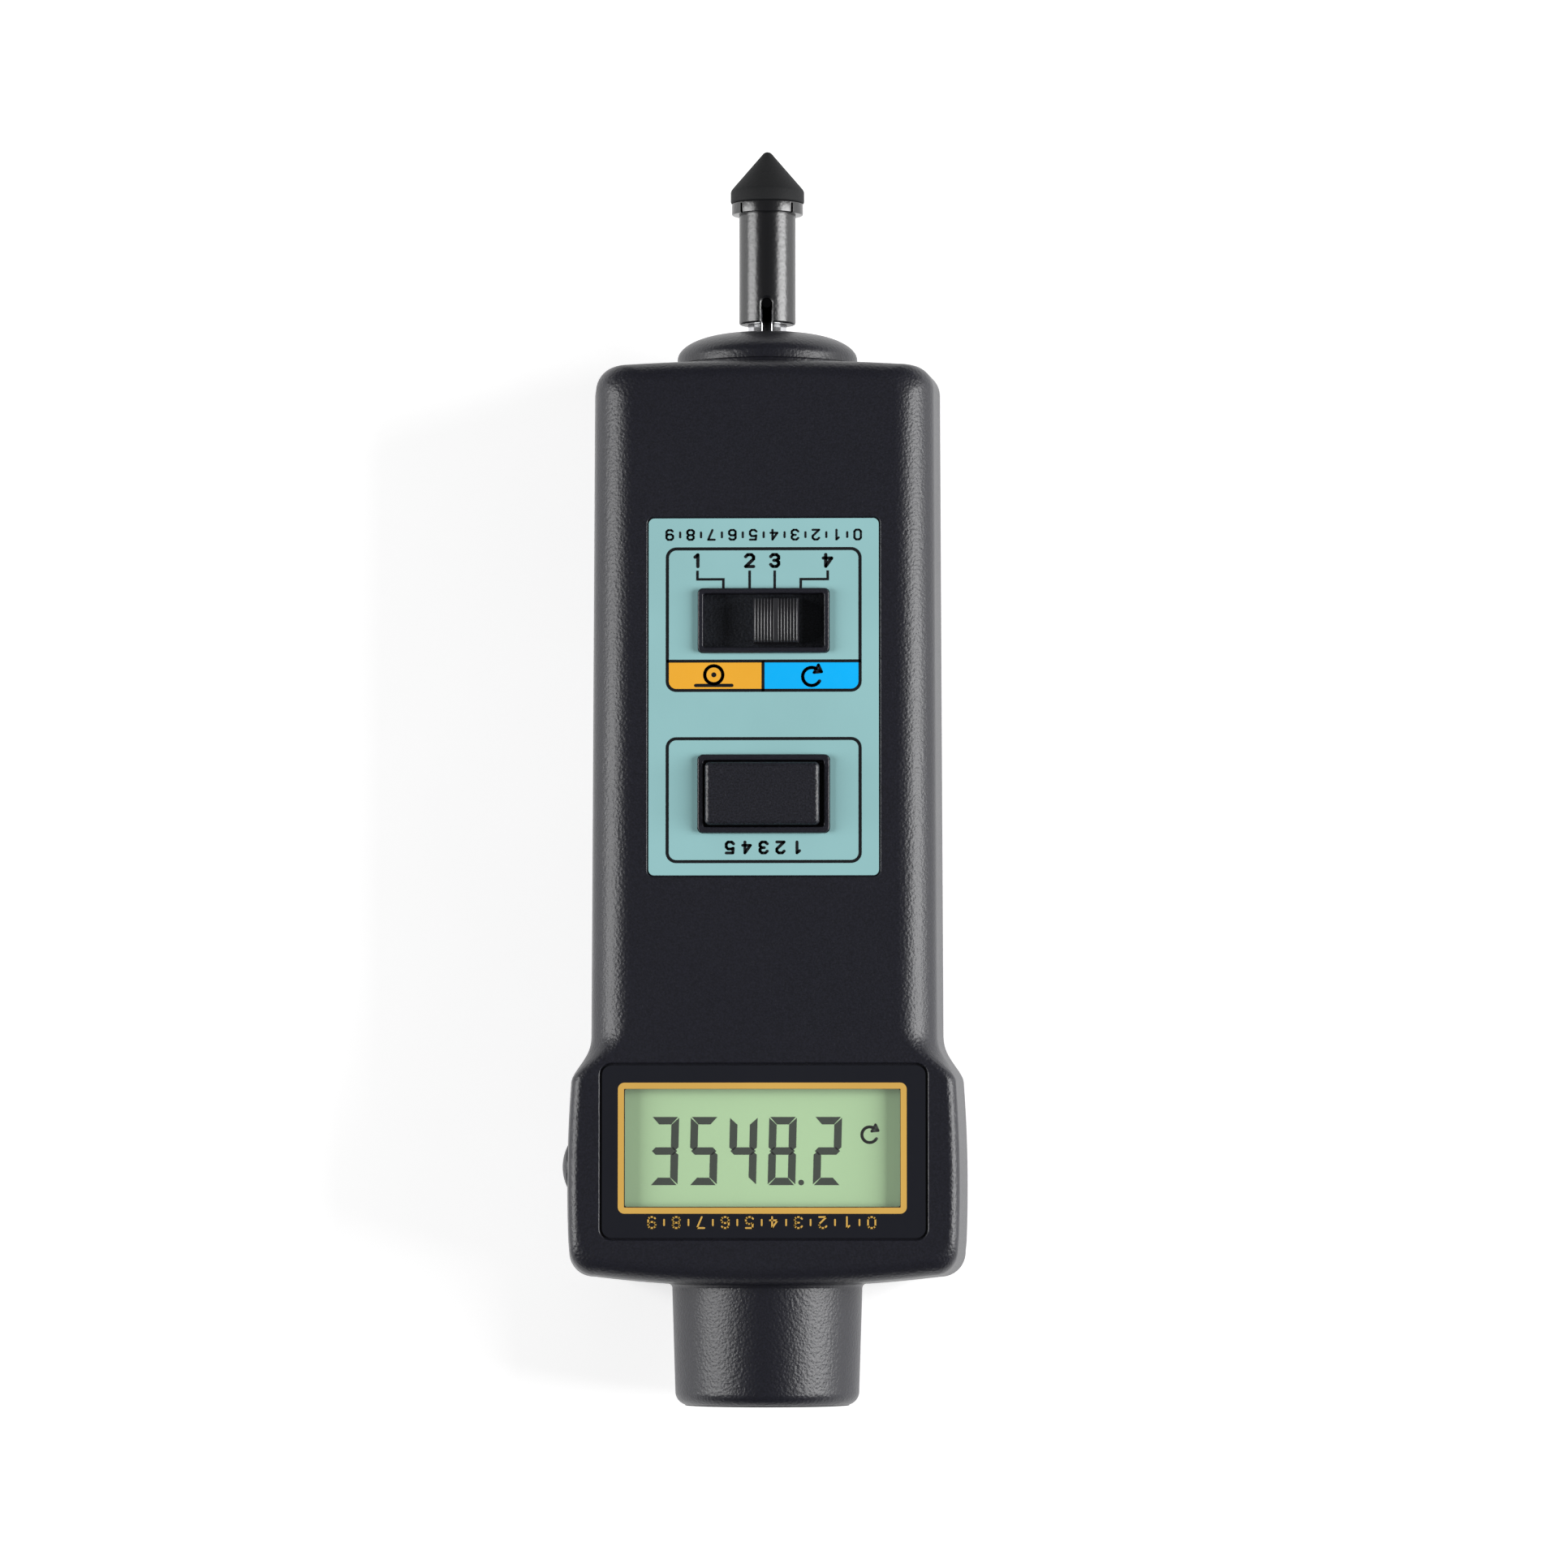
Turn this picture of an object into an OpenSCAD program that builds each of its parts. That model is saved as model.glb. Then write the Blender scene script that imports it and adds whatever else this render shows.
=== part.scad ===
// Contact tachometer: hand-held, lying on its back, display and controls facing up.
// +Z is up towards the front face, +Y runs towards the contact tip, z = 0 is the back face.

/* [Case] */
// Length of the case along its centre line, without the nose ring and the light hood
case_len = 149.6; // [146:0.1:158]
// Width of the grip at the contact end
grip_w = 56.3; // [54:0.1:60]
// Width of the grip where it meets the display head
waist_w = 57.2; // [54:0.1:60]
// Width of the display head
head_w = 65; // [63:0.1:70]
// Thickness of the closed case
case_t = 38; // [37:0.1:42]
// Wall of both case halves
wall = 2.2; // [1.8:0.1:2.5]
// Rounding along the front edges of the grip
grip_edge_r = 6; // [4.5:0.1:6.5]
// Rounding along the front edges of the head
head_edge_r = 1.7; // [1.2:0.1:2.4]
// Rounding along the edges of both ends
end_edge_r = 3; // [2:0.1:3.5]
// Rounding along the back edges
back_edge_r = 4; // [3:0.1:5]
// Rounding of the corners in plan
corner_r = 4; // [3:0.1:4.5]
// Draft of the side walls, degrees
side_draft = 3.9; // [2:0.1:4.5]
// Draft of the end walls, degrees
end_draft = 3; // [1.5:0.1:3.5]
// Height of the contact end's arc
grip_end_crown = 0.9; // [0.5:0.1:1.5]
// Height of the head end's arc
head_end_crown = 1.7; // [1:0.1:2]
// Distance from the head end to where the shoulder reaches full head width
head_len = 33; // [32:0.1:35]
// Length of the shoulder between grip and head
shoulder_len = 8.2; // [7:0.1:9]
// How far the head's sides bulge
head_barrel = 0.6; // [0.2:0.1:0.9]

/* [Front panel] */
// Width of the label plate
label_w = 36.9; // [36:0.1:38]
// Length of the label plate
label_len = 57.3; // [54:0.1:60]
// Thickness of the label plate, which fills its recess
label_t = 0.5; // [0.3:0.05:0.7]
// Position of the label's centre along the case
label_y = 19.9; // [18:0.1:22]
// Height of the moulded frames above the face
bezel_rise = 0.9; // [0.5:0.1:1.2]
// Width of the selector frame
switch_frame_w = 21; // [20.8:0.1:22]
// Height of the selector frame
switch_frame_h = 10.3; // [10:0.1:11]
// Position of the selector along the case
switch_y = 32.1; // [31:0.1:33]
// Rim of the selector frame
switch_rim = 0.8; // [0.5:0.05:0.9]
// Width of the key frame
key_frame_w = 21.1; // [21:0.1:22]
// Height of the key frame
key_frame_h = 12.5; // [12.3:0.1:13]
// Position of the memory key along the case
key_y = 4.3; // [2:0.1:6]
// Rim of the key frame
key_rim = 0.9; // [0.6:0.05:1]

/* [Display] */
// Distance from the head's side to the display panel
window_margin = 6.65; // [6.5:0.05:7.5]
// Height of the display panel
window_h = 27.5; // [26.5:0.1:28]
// Thickness of the display panel
window_t = 0.7; // [0.5:0.05:0.9]
// Distance from the head end to the display panel's centre
window_inset = 21.9; // [21.4:0.1:22.4]
// Distance from the display panel's side to the visible display
view_margin = 3.85; // [3.4:0.05:4.8]
// Height of the visible display
view_h = 18.8; // [18:0.1:19.4]
// Width of the display glass beyond the visible display, on each side
lcd_edge = 2; // [1.6:0.1:2.2]
// Height of the display glass
lcd_h = 23.4; // [22.6:0.1:23.6]
// Thickness of the display glass
lcd_t = 2.8; // [2.2:0.1:3]

/* [Controls] */
// Step between two selector positions
selector_pitch = 4; // [3.6:0.1:4]
// Number of selector positions
selector_steps = 4; // [4:1:4]
// Position that the selector stands at, counted from the left
selector_rest = 3; // [1:1:4]
// Side of the selector knob
knob_w = 7.2; // [6.8:0.1:7.2]
// Ribs across the selector knob
knob_ribs = 13; // [9:1:15]
// Width of the memory key
key_w = 18.3; // [17.5:0.1:18.4]
// Height of the memory key
key_h = 10.1; // [9.6:0.1:10.2]
// Height of the memory key above the face
key_rise = 2.2; // [1.8:0.1:2.6]
// Travel of the memory key
key_travel = 1.2; // [0.8:0.1:1.3]
// Diameter of the measure button
measure_d = 7; // [6:0.1:8]
// Distance from the head end to the measure button
measure_inset = 19.5; // [17.8:0.1:21.8]
// Height of the measure button's dome outside the case
measure_rise = 0.75; // [0.7:0.05:1.2]
// Travel of the measure button
measure_travel = 0.6; // [0.3:0.1:0.65]

/* [Contact shaft] */
// Diameter of the steel shaft
shaft_d = 6.35; // [6:0.05:6.5]
// Outer diameter of a shaft bearing
bearing_d = 15.875; // [15:0.005:16.5]
// Width of a shaft bearing
bearing_w = 4.98; // [4.5:0.01:5.2]
// Diameter of the nose
nose_d = 29.3; // [28:0.1:30]
// Distance from the case's end to the nose's front face
nose_len = 5.5; // [5.2:0.1:7]
// Length of the nose's bearing tube inside the case
nose_tube_len = 18.4; // [18:0.1:19]
// Length of shaft outside the nose
shaft_out = 13; // [12:0.1:14]
// Diameter of the contact adapter's sleeve
sleeve_d = 9.1; // [8.8:0.1:9.6]
// Length of the adapter from its open end to its flange
sleeve_len = 18; // [17:0.1:20]
// Gap between the nose and the adapter
sleeve_gap = 1.6; // [1.2:0.1:2]
// Depth of the adapter's socket
socket_depth = 12; // [11.8:0.1:13]
// Diameter of the adapter's flange
flange_d = 11.5; // [11:0.1:12]
// Thickness of the adapter's flange
flange_t = 1.9; // [1.5:0.1:2.2]
// Diameter of the rubber cone
cone_d = 11.8; // [11.2:0.1:12.4]
// Height of the rubber cone's straight skirt
cone_skirt = 2.2; // [1.8:0.1:2.6]
// Half angle of the rubber cone, degrees
cone_half_angle = 40.7; // [38:0.1:45]
// Rounding of the rubber cone's tip
cone_tip_r = 1; // [0.6:0.1:1.4]
// Diameter of the cross pin that drives the adapter
drive_pin_d = 1.5; // [1.2:0.1:1.6]
// Diameter of the slotted disc
disc_d = 19; // [18:0.1:20]
// Slots in the slotted disc
disc_slots = 60; // [30:1:60]

/* [Light hood] */
// Diameter of the light hood at its root
hood_root_d = 31; // [30:0.1:31.5]
// Diameter of the light hood at its mouth
hood_mouth_d = 29.8; // [29:0.1:30]
// Length of the light hood outside the case
hood_len = 19.2; // [18:0.1:21]
// Diameter of the hood's bore
hood_bore_d = 25.2; // [24.4:0.1:25.4]
// Rounding of the hood's mouth
hood_edge_r = 2.1; // [1:0.1:2.2]
// Distance from the hood's mouth to the lens ring
lens_recess = 3.6; // [3:0.1:3.9]
// Thickness of the lens at its centre
lens_t = 4.4; // [3.8:0.1:4.6]
// Thickness of the lens at its edge
lens_edge_t = 1.5; // [1.2:0.1:1.8]

/* [Batteries] */
// Diameter of one cell
cell_d = 14.5; // [13.8:0.1:14.5]
// Length of one cell with its nub
cell_len = 50.5; // [49:0.1:50.5]
// Free length of a contact spring in place
spring_len = 4.6; // [4.2:0.1:5]
// Wall of the battery bay
bay_wall = 1.6; // [1.2:0.1:1.6]
// Position of the bay's centre along the case
bay_y = -4; // [-4.5:0.1:-3.5]
// Thickness of the battery cover
cover_t = 2; // [1.8:0.1:2]

/* [Boards] */
// Thickness of the circuit boards
board_t = 1.6; // [1:0.1:1.6]
// Height of the space between the front wall and the main board
board_drop = 7.8; // [7.6:0.1:8]
// Width of the main board in the grip
board_w = 35.2; // [34:0.1:35.2]
// Distance from the head's side to the main board
board_margin = 6; // [6:0.1:7.5]

/* [Fasteners] */
// Diameter of the case screws' shanks
case_screw_d = 2.8; // [2.5:0.1:3]
// Diameter of the case screws' heads
case_screw_head_d = 4.6; // [4.2:0.1:4.8]
// Diameter of the board screws' shanks
board_screw_d = 2.1; // [1.8:0.1:2.3]
// Diameter of the board screws' heads
board_screw_head_d = 4; // [3.6:0.1:4.2]

/* [Hidden] */
$fn = 96;

// Clearances, and the overrun of every cut
fit = 0.1;
run_fit = 0.05;
slide_fit = 0.2;
stand_off = 0.3;
over = 1;
arc_steps = 6;

// Levels of the case
part_z = case_t / 2;
face_in = case_t - wall;
axis_z = part_z;
lip_h = 1.2;
lip_share = 0.45;
lip_d = wall * lip_share;
board_top = face_in - board_drop;
board_z = board_top - board_t;

// Shares of an edge's rounding at which the case outlines are taken
edge_shares = [0, 0.26, 0.5, 0.67, 0.81, 0.9, 0.956, 0.99, 1];
inner_edge_shares = [0, 0.5, 0.8, 0.96, 1];
// The shoulder starts higher up the case at the face than at the parting line
shoulder_lift = 2.3;
shoulder_bias_share = 1.4;
min_corner_r = 0.6;

// Arc points about a centre, angles in degrees
function arc(cx, cy, r, from, to, steps = arc_steps) =
    [for (i = [0:steps]) let (a = from + (to - from) * i / steps) [cx + r * cos(a), cy + r * sin(a)]];

// Outline of a rectangle with round corners, centred
function round_rect(w, h, r) = concat(
    arc(w / 2 - r, h / 2 - r, r, 0, 90),
    arc(r - w / 2, h / 2 - r, r, 90, 180),
    arc(r - w / 2, r - h / 2, r, 180, 270),
    arc(w / 2 - r, r - h / 2, r, 270, 360));

function smooth(s) = s * s * (3 - 2 * s);

// Inset that a rounded edge of radius r adds at height u above the parting line
function edge_inset(u, r, d) =
    let (ri = max(r - d, fit), h = u - (part_z - d - ri))
    h <= 0 ? 0 : ri - sqrt(max(ri * ri - h * h, 0));

// Right half of the case outline at height u above (or below) the parting line, d inside its skin
function half_outline(u, d, side_r, head_r) =
    let (
        lean = d + u * tan(side_draft),
        side_in = lean + edge_inset(u, side_r, d),
        head_in = lean + edge_inset(u, head_r, d),
        end_in = d + u * tan(end_draft) + edge_inset(u, end_edge_r, d),
        y_top = case_len / 2 - end_in,
        y_low = end_in - case_len / 2,
        w_top = grip_w / 2 - side_in,
        w_waist = waist_w / 2 - side_in,
        w_head = head_w / 2 - head_in,
        r = max(corner_r - d, min_corner_r),
        x_top = w_top - r,
        y_turn = y_top - grip_end_crown * pow(x_top / w_top, 2) - r,
        y_full = head_len - case_len / 2,
        y_start = y_full + shoulder_len + shoulder_lift * (side_in - lean) / side_r,
        y_mid = (y_full - case_len / 2) / 2,
        bulge = function (y) w_head - head_barrel * pow((y - y_mid) / (y_full - y_mid), 2),
        x_low = bulge(y_low + r) - r,
        y_low_turn = y_low + head_end_crown * pow(x_low / w_head, 2) + r
    )
    concat(
        [for (i = [0:4]) let (x = x_top * i / 5) [x, y_top - grip_end_crown * pow(x / w_top, 2)]],
        arc(x_top, y_turn, r, 90, 0),
        [for (i = [1:2]) let (s = i / 3) [w_top + (w_waist - w_top) * s, y_turn + (y_start - y_turn) * s]],
        [for (i = [0:8]) let (s = i / 9, k = smooth(pow(s, shoulder_bias_share)))
            [w_waist + (bulge(y_full) - w_waist) * k, y_start + (y_full - y_start) * s]],
        [for (i = [0:4]) let (y = y_full + (y_low_turn - y_full) * i / 5) [bulge(y), y]],
        arc(x_low, y_low_turn, r, 0, -90),
        [for (i = [1:5]) let (x = x_low * (1 - i / 6)) [x, y_low + head_end_crown * pow(x / w_head, 2)]],
        [[0, y_low]]);

// Whole outline, clockwise seen from above, as points at height z
function case_ring(u, d, z, side_r, head_r) =
    let (half = half_outline(abs(u), d, side_r, head_r), n = len(half))
    concat(
        [for (p = half) [p[0], p[1], z]],
        [for (i = [n - 2:-1:1]) [-half[i][0], half[i][1], z]]);

// Flat end of a ring: a fan for a convex ring, or strips between mirrored points for a case outline
function end_faces(n, base, mirrored) = mirrored
    ? [for (i = [0:n / 2 - 1]) let (a = i, b = i + 1, c = n - i - 1, d = (n - i) % n)
        each concat(b == c ? [] : [[base + a, base + b, base + c]], a == d ? [] : [[base + a, base + c, base + d]])]
    : [[for (i = [0:n - 1]) base + i]];

function flipped(faces) = [for (f = faces) [for (i = [len(f) - 1:-1:0]) f[i]]];

// Solid through a list of rings with equal point counts; each ring runs clockwise seen from the last one
module loft(rings, flip = false, mirrored = false) {
    n = len(rings[0]);
    m = len(rings);
    sides = [for (k = [0:m - 2], i = [0:n - 1]) let (j = (i + 1) % n, a = k * n, b = (k + 1) * n)
        each [[a + i, a + j, b + j], [a + i, b + j, b + i]]];
    faces = concat(flipped(end_faces(n, 0, mirrored)), sides, end_faces(n, (m - 1) * n, mirrored));
    polyhedron(points = [for (ring = rings) each ring], faces = flip ? flipped(faces) : faces);
}

// Heights at which a skin of edge radius r, d inside the case, gets an outline, from the edge's end down
function skin_levels(r, d, shares) =
    let (ri = max(r - d, fit), top = part_z - d)
    [for (i = [len(shares) - 1:-1:0]) top - ri * (1 - shares[i])];

// One case half: inner skin, stepped rim and outer skin in one closed surface
module case_shell(up, side_r, head_r) {
    inner = skin_levels(side_r, wall, inner_edge_shares);
    outer = skin_levels(side_r, 0, edge_shares);
    rim_u = up > 0 ? lip_h + fit : -lip_h;
    rim_d = up > 0 ? lip_d - run_fit : lip_d + run_fit;
    level = function (u) part_z + up * u;
    rings = concat(
        [for (u = inner) case_ring(u, wall, level(u), side_r, head_r)],
        [case_ring(rim_u, wall, level(rim_u), side_r, head_r)],
        [case_ring(rim_u, rim_d, level(rim_u), side_r, head_r)],
        [case_ring(0, rim_d, part_z, side_r, head_r)],
        [case_ring(0, 0, part_z, side_r, head_r)],
        [for (i = [len(outer) - 1:-1:0]) case_ring(outer[i], 0, level(outer[i]), side_r, head_r)]);
    loft(rings, flip = up < 0, mirrored = true);
}

// Everything inside the outer skin of one case half
module case_block(up, side_r, head_r) {
    outer = skin_levels(side_r, 0, edge_shares);
    rings = concat(
        [case_ring(0, 0, part_z, side_r, head_r)],
        [for (i = [len(outer) - 1:-1:0])
            case_ring(outer[i], 0, part_z + up * outer[i], side_r, head_r)]);
    loft(rings, flip = up < 0, mirrored = true);
}

// Children drawn about the Z axis are laid along +Y on the shaft's axis
module along_y() translate([0, 0, axis_z]) rotate([-90, 0, 0]) children();

// Turned piece on the shaft's axis: points are [radius, position along Y]
module turned(points) along_y() rotate_extrude() polygon(points);

// Ring on the shaft's axis
module tube_y(r_out, r_in, y0, y1) turned([[r_in, y0], [r_out, y0], [r_out, y1], [r_in, y1]]);

// Cylinder on an axis parallel to the shaft's
module rod_y(r, y0, y1, x = 0, z = axis_z)
    translate([x, y0, z]) rotate([-90, 0, 0]) cylinder(r = r, h = y1 - y0);

// Cylinder along Z
module rod_z(r, z0, z1, x, y) translate([x, y, z0]) cylinder(r = r, h = z1 - z0);

// Box by its middle in plan and its two heights
module slab(w, h, z0, z1, x = 0, y = 0) translate([x - w / 2, y - h / 2, z0]) cube([w, h, z1 - z0]);

// Plate with round corners
module plate(w, h, r, z0, z1, x = 0, y = 0)
    translate([x, y, z0]) linear_extrude(z1 - z0) polygon(round_rect(w, h, r));

// Case fasteners: grip pairs and head pair
screw_inset_share = 0.243;
grip_screw_x = grip_w / 2 * (1 - screw_inset_share);
boss_r = case_screw_d / 2 + 1.8;
rear_boss_r = case_screw_head_d / 2 + 1.4;
head_screw_x = head_w / 2 - head_barrel - wall - boss_r - stand_off;
head_screw_y = boss_r + wall + stand_off + head_end_crown - case_len / 2;
top_screw_y = case_len / 2 - 2 * boss_r - wall;
waist_screw_y = head_len + shoulder_len - case_len / 2 + 2 * boss_r;
CASE_SCREWS = [[grip_screw_x, top_screw_y], [-grip_screw_x, top_screw_y],
    [grip_screw_x, waist_screw_y], [-grip_screw_x, waist_screw_y],
    [head_screw_x, head_screw_y], [-head_screw_x, head_screw_y]];
case_screw_seat = part_z / 2;
case_screw_head_h = 2;
case_screw_grip = 8;

// Battery bay under the board
cell_gap = 0.3;
bay_w = 2 * cell_d + 3 * cell_gap;
contact_t = 0.5;
bay_len = 2 * cell_len + fit + spring_len + 2 * contact_t;
bay_y0 = bay_y - bay_len / 2;
bay_y1 = bay_y + bay_len / 2;
rail_z = cover_t + slide_fit;
cell_z = rail_z + cell_gap + cell_d / 2;
bay_roof = cell_z + cell_d / 2 + cell_gap;
cell_x = cell_d / 2 + cell_gap / 2;

// Battery cover: a lid that runs to the contact end, with a tongue along each side
tongue = 1.1;
cover_w = bay_w + 2 * bay_wall;
tongue_t = cover_t / 2;
cover_y0 = bay_y0 - bay_wall;
grip_grooves = 6;
groove_w = 1;
groove_depth = 0.6;
groove_len_share = 0.5;

// Contact end
end_y = case_len / 2;
nose_ring_rise = 2.1;
nose_ring_r = nose_d / 2 + 0.4;
nose_face = end_y + nose_len;
nose_seat = end_y + nose_ring_rise;
nose_edge_r = 3.1;
housing_wall = 2;
housing_r = bearing_d / 2 + housing_wall;
housing_y0 = end_y - nose_tube_len;
saddle_t = 2;
saddle_y = end_y - wall - 2 * saddle_t - 2.6;
collar_t = 1.8;
collar_r = housing_r + 2.6;
shaft_r = shaft_d / 2;
rear_bearing_y = housing_y0 + 0.6;
front_bearing_y = nose_seat - bearing_w - 1.5;
ring_t = 0.7;
ring_r = shaft_r + 1.3;
hub_len = 2.4;
hub_r = shaft_r + 1.8;
disc_t = 0.8;
disc_y = rear_bearing_y - ring_t - hub_len - disc_t;
shaft_y0 = disc_y - 0.8;
shaft_y1 = nose_face + shaft_out;
sleeve_y = nose_face + sleeve_gap;
flange_y = sleeve_y + sleeve_len;
cone_y = flange_y + flange_t;
spigot_r = sleeve_d / 3;
spigot_len = cone_skirt + 1.4;
notch_w = 2.4;
notch_depth = 0.8;
slot_w = drive_pin_d + 0.3;
slot_len = 4.1;
slot_bevel = 0.3;
pin_y = sleeve_y + slot_len - slot_w / 2 - run_fit;

// Slotted sensor and its board above the disc
disc_r = disc_d / 2;
tooth_depth = 2.4;
sensor_gap = 1.6;
sensor_arm = 1.5;
sensor_w = 6;
sensor_reach = 3.2;
sensor_base = 2;
sensor_low = axis_z + disc_r - sensor_reach;
sensor_top = axis_z + disc_r + 0.5 + sensor_base;
pickup_w = 18;
pickup_len = 12;
pickup_y = disc_y + disc_t / 2 + 3;
pickup_z = max(sensor_top, axis_z + housing_r + stand_off);
pickup_post_x = 6.4;
pickup_post_y = pickup_y + 3;

// Light hood and its optics
hood_y = -end_y - hood_len;
hood_seat = wall * 0.6 - end_y;
hood_collar_y = -end_y + wall + 1.2;
hood_collar_t = 1.5;
hood_collar_r = part_z - wall - stand_off;
hood_neck_r = hood_root_d / 2 - 1;
hood_flare = 1.2;
hood_flare_y = -end_y - 0.3;
hood_bore_r = hood_bore_d / 2;
lens_ring_t = 1;
lens_ring_lip = 1.4;
lens_front = hood_y + lens_recess + lens_ring_t;
lens_back = lens_front + lens_edge_t;
tube_wall = 1;
septum_t = 1;
septum_y = lens_back + 4;
optics_y = hood_collar_y + hood_collar_t + 1;
optics_w = 24;
optics_h = 22;
optic_x = 5.4;
lamp_r = 2.4;
lamp_len = 7;
holder_r = 3;
holder_len = 3.6;
sensor_r = 2.7;
sensor_len = 4;

// Display stack
window_w = head_w - 2 * window_margin;
window_y = window_inset - case_len / 2;
view_w = window_w - 2 * view_margin;
lcd_w = view_w + 2 * lcd_edge;
view_x = -0.2;
view_lift = 0.6;
view_y = window_y + view_lift;
window_gap = 0.35;
window_r = 1.5;
window_seat = case_t - window_t - fit;
frame_w = lcd_w + 2.6;
frame_h = lcd_h + 3.6;
lcd_ledge = 0.9;
lcd_z = face_in - lcd_t;
zebra_w = 2;

// Controls
switch_slot_w = 3.4;
stem_w = 2.6;
stem_len = 2.4;
switch_body_w = 24;
switch_body_h = 11;
switch_body_top = face_in - 0.9;
knob_z = switch_body_top + stand_off;
shutter_t = 0.3;
knob_rise = 1.7;
knob_rib_share = 0.5;
knob_rib_depth = 0.3;
knob_dish = 0.45;
selector_x = (selector_rest - (selector_steps + 1) / 2) * selector_pitch;
shutter_w = switch_frame_w - switch_rim + (selector_steps - 1) * selector_pitch;
key_x = -0.2;
key_lip = 1.1;
key_lip_t = 1.2;
key_base = face_in - stand_off - key_lip_t;
key_edge_r = 0.7;
key_stem_r = 2.5;
plunger_r = 1.7;
key_switch_w = 12;
key_switch_top = board_top + 3.6;
key_stem_end = key_switch_top + key_travel + fit;
plunger_in = 0.8;
measure_r = measure_d / 2;
measure_y = measure_inset - case_len / 2;
measure_lip = 1.1;
measure_lip_t = 1;
measure_wall = head_w / 2 - wall;
measure_lip_x = measure_wall - 0.75;
measure_base_x = measure_lip_x - measure_lip_t;
measure_plunger_r = 1.5;
measure_switch_x = measure_base_x - measure_travel - 1;
measure_switch_t = 4.2;
measure_switch_w = 6.2;

// Board outline and fixings
board_head_w = head_w - 2 * board_margin;
board_y1 = bay_y1 - 1;
board_head_y = head_len - case_len / 2 + 1.8;
board_y0 = frame_h / -2 + view_y + 1;
post_r = 2.5;
board_screw_x = board_w / 2 - 3;
BOARD_SCREWS = [[board_screw_x, board_y1 - 4], [-board_screw_x, board_y1 - 4],
    [board_screw_x, board_head_y + 9], [-board_screw_x, board_head_y + 9]];
board_screw_head_h = 1.5;
board_screw_len = 5;
PICKUP_SCREWS = [[pickup_post_x, pickup_post_y], [-pickup_post_x, pickup_post_y]];

// Chips under the board: width, height, thickness, and place from the memory key, as shares of the board's width
chip_shares = [[0.57, 0.4, 0.08, 0, -0.4], [0.4, 0.23, 0.063, 0.11, 0.23], [0.28, 0.17, 0.057, -0.23, 0.68]];
chip_leads = [14, 8, 4];
crystal_shares = [0.125, 0.31, 0.057, 0.31, 0.62];
crystal_can = 0.097;

module front_case() {
    color([0.12, 0.12, 0.15]) difference() {
        union() {
            case_shell(1, grip_edge_r, head_edge_r);
            plate(switch_frame_w, switch_frame_h, switch_rim, face_in, case_t + bezel_rise, 0, switch_y);
            plate(key_frame_w, key_frame_h, key_rim, face_in, case_t + bezel_rise, 0, key_y);
            for (p = CASE_SCREWS) rod_z(boss_r, part_z, face_in + fit, p[0], p[1]);
            for (p = BOARD_SCREWS) rod_z(post_r, board_top, face_in + fit, p[0], p[1]);
            for (p = PICKUP_SCREWS) rod_z(post_r, pickup_z + board_t, face_in + fit, p[0], p[1]);
            nose_saddle(part_z, face_in + fit);
            intersection() {
                nose_ring();
                slab(2 * nose_d, 2 * end_y, part_z, case_t, 0, end_y);
            }
        }
        label_recess();
        plate(switch_frame_w - 2 * switch_rim, switch_frame_h - 2 * switch_rim, switch_rim,
            face_in - over, case_t + bezel_rise + over, 0, switch_y);
        plate(key_frame_w - 2 * key_rim, key_frame_h - 2 * key_rim, key_rim,
            face_in - over, case_t + bezel_rise + over, 0, key_y);
        plate(window_w + 2 * window_gap, window_h + 2 * window_gap, window_r + window_gap,
            window_seat, case_t + over, 0, window_y);
        slab(view_w + 1, view_h + 0.6, face_in - over, case_t, view_x, view_y);
        for (p = CASE_SCREWS) rod_z(case_screw_d / 2 + run_fit, part_z - over,
            part_z + case_screw_grip + over, p[0], p[1]);
        for (p = BOARD_SCREWS) rod_z(board_screw_d / 2 + run_fit, board_top - over,
            board_top + board_screw_len, p[0], p[1]);
        for (p = PICKUP_SCREWS) rod_z(board_screw_d / 2 + run_fit, pickup_z, face_in, p[0], p[1]);
        end_openings();
    }
}

// Recess for the label plate, round the two moulded frames
module label_recess() {
    difference() {
        plate(label_w + 4 * fit, label_len + 4 * fit, window_r / 2, case_t - label_t, case_t + over, 0, label_y);
        plate(switch_frame_w, switch_frame_h, switch_rim, face_in, case_t + bezel_rise, 0, switch_y);
        plate(key_frame_w, key_frame_h, key_rim, face_in, case_t + bezel_rise, 0, key_y);
    }
}

// Ring moulded round the nose's seat, split between the case halves
module nose_ring() tube_y(nose_ring_r, housing_r + fit, end_y - lip_d + fit, nose_seat);

// Rib across one case half that carries the nose's bearing tube
module nose_saddle(z0, z1) slab(bay_w + 2 * bay_wall, saddle_t, z0, z1, 0, saddle_y + saddle_t / 2);

// Holes through the ends and the left side, shared by both halves
module end_openings() {
    rod_y(housing_r + fit, saddle_y - over, nose_seat + over);
    rod_y(hood_neck_r + fit, -end_y - over, hood_collar_y + over);
    rod_y(hood_root_d / 2 + hood_flare + fit, -end_y - over, hood_seat);
    translate([-measure_wall + over, measure_y, axis_z]) rotate([0, -90, 0])
        cylinder(r = measure_r + slide_fit, h = wall + 3 * over);
}

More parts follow.
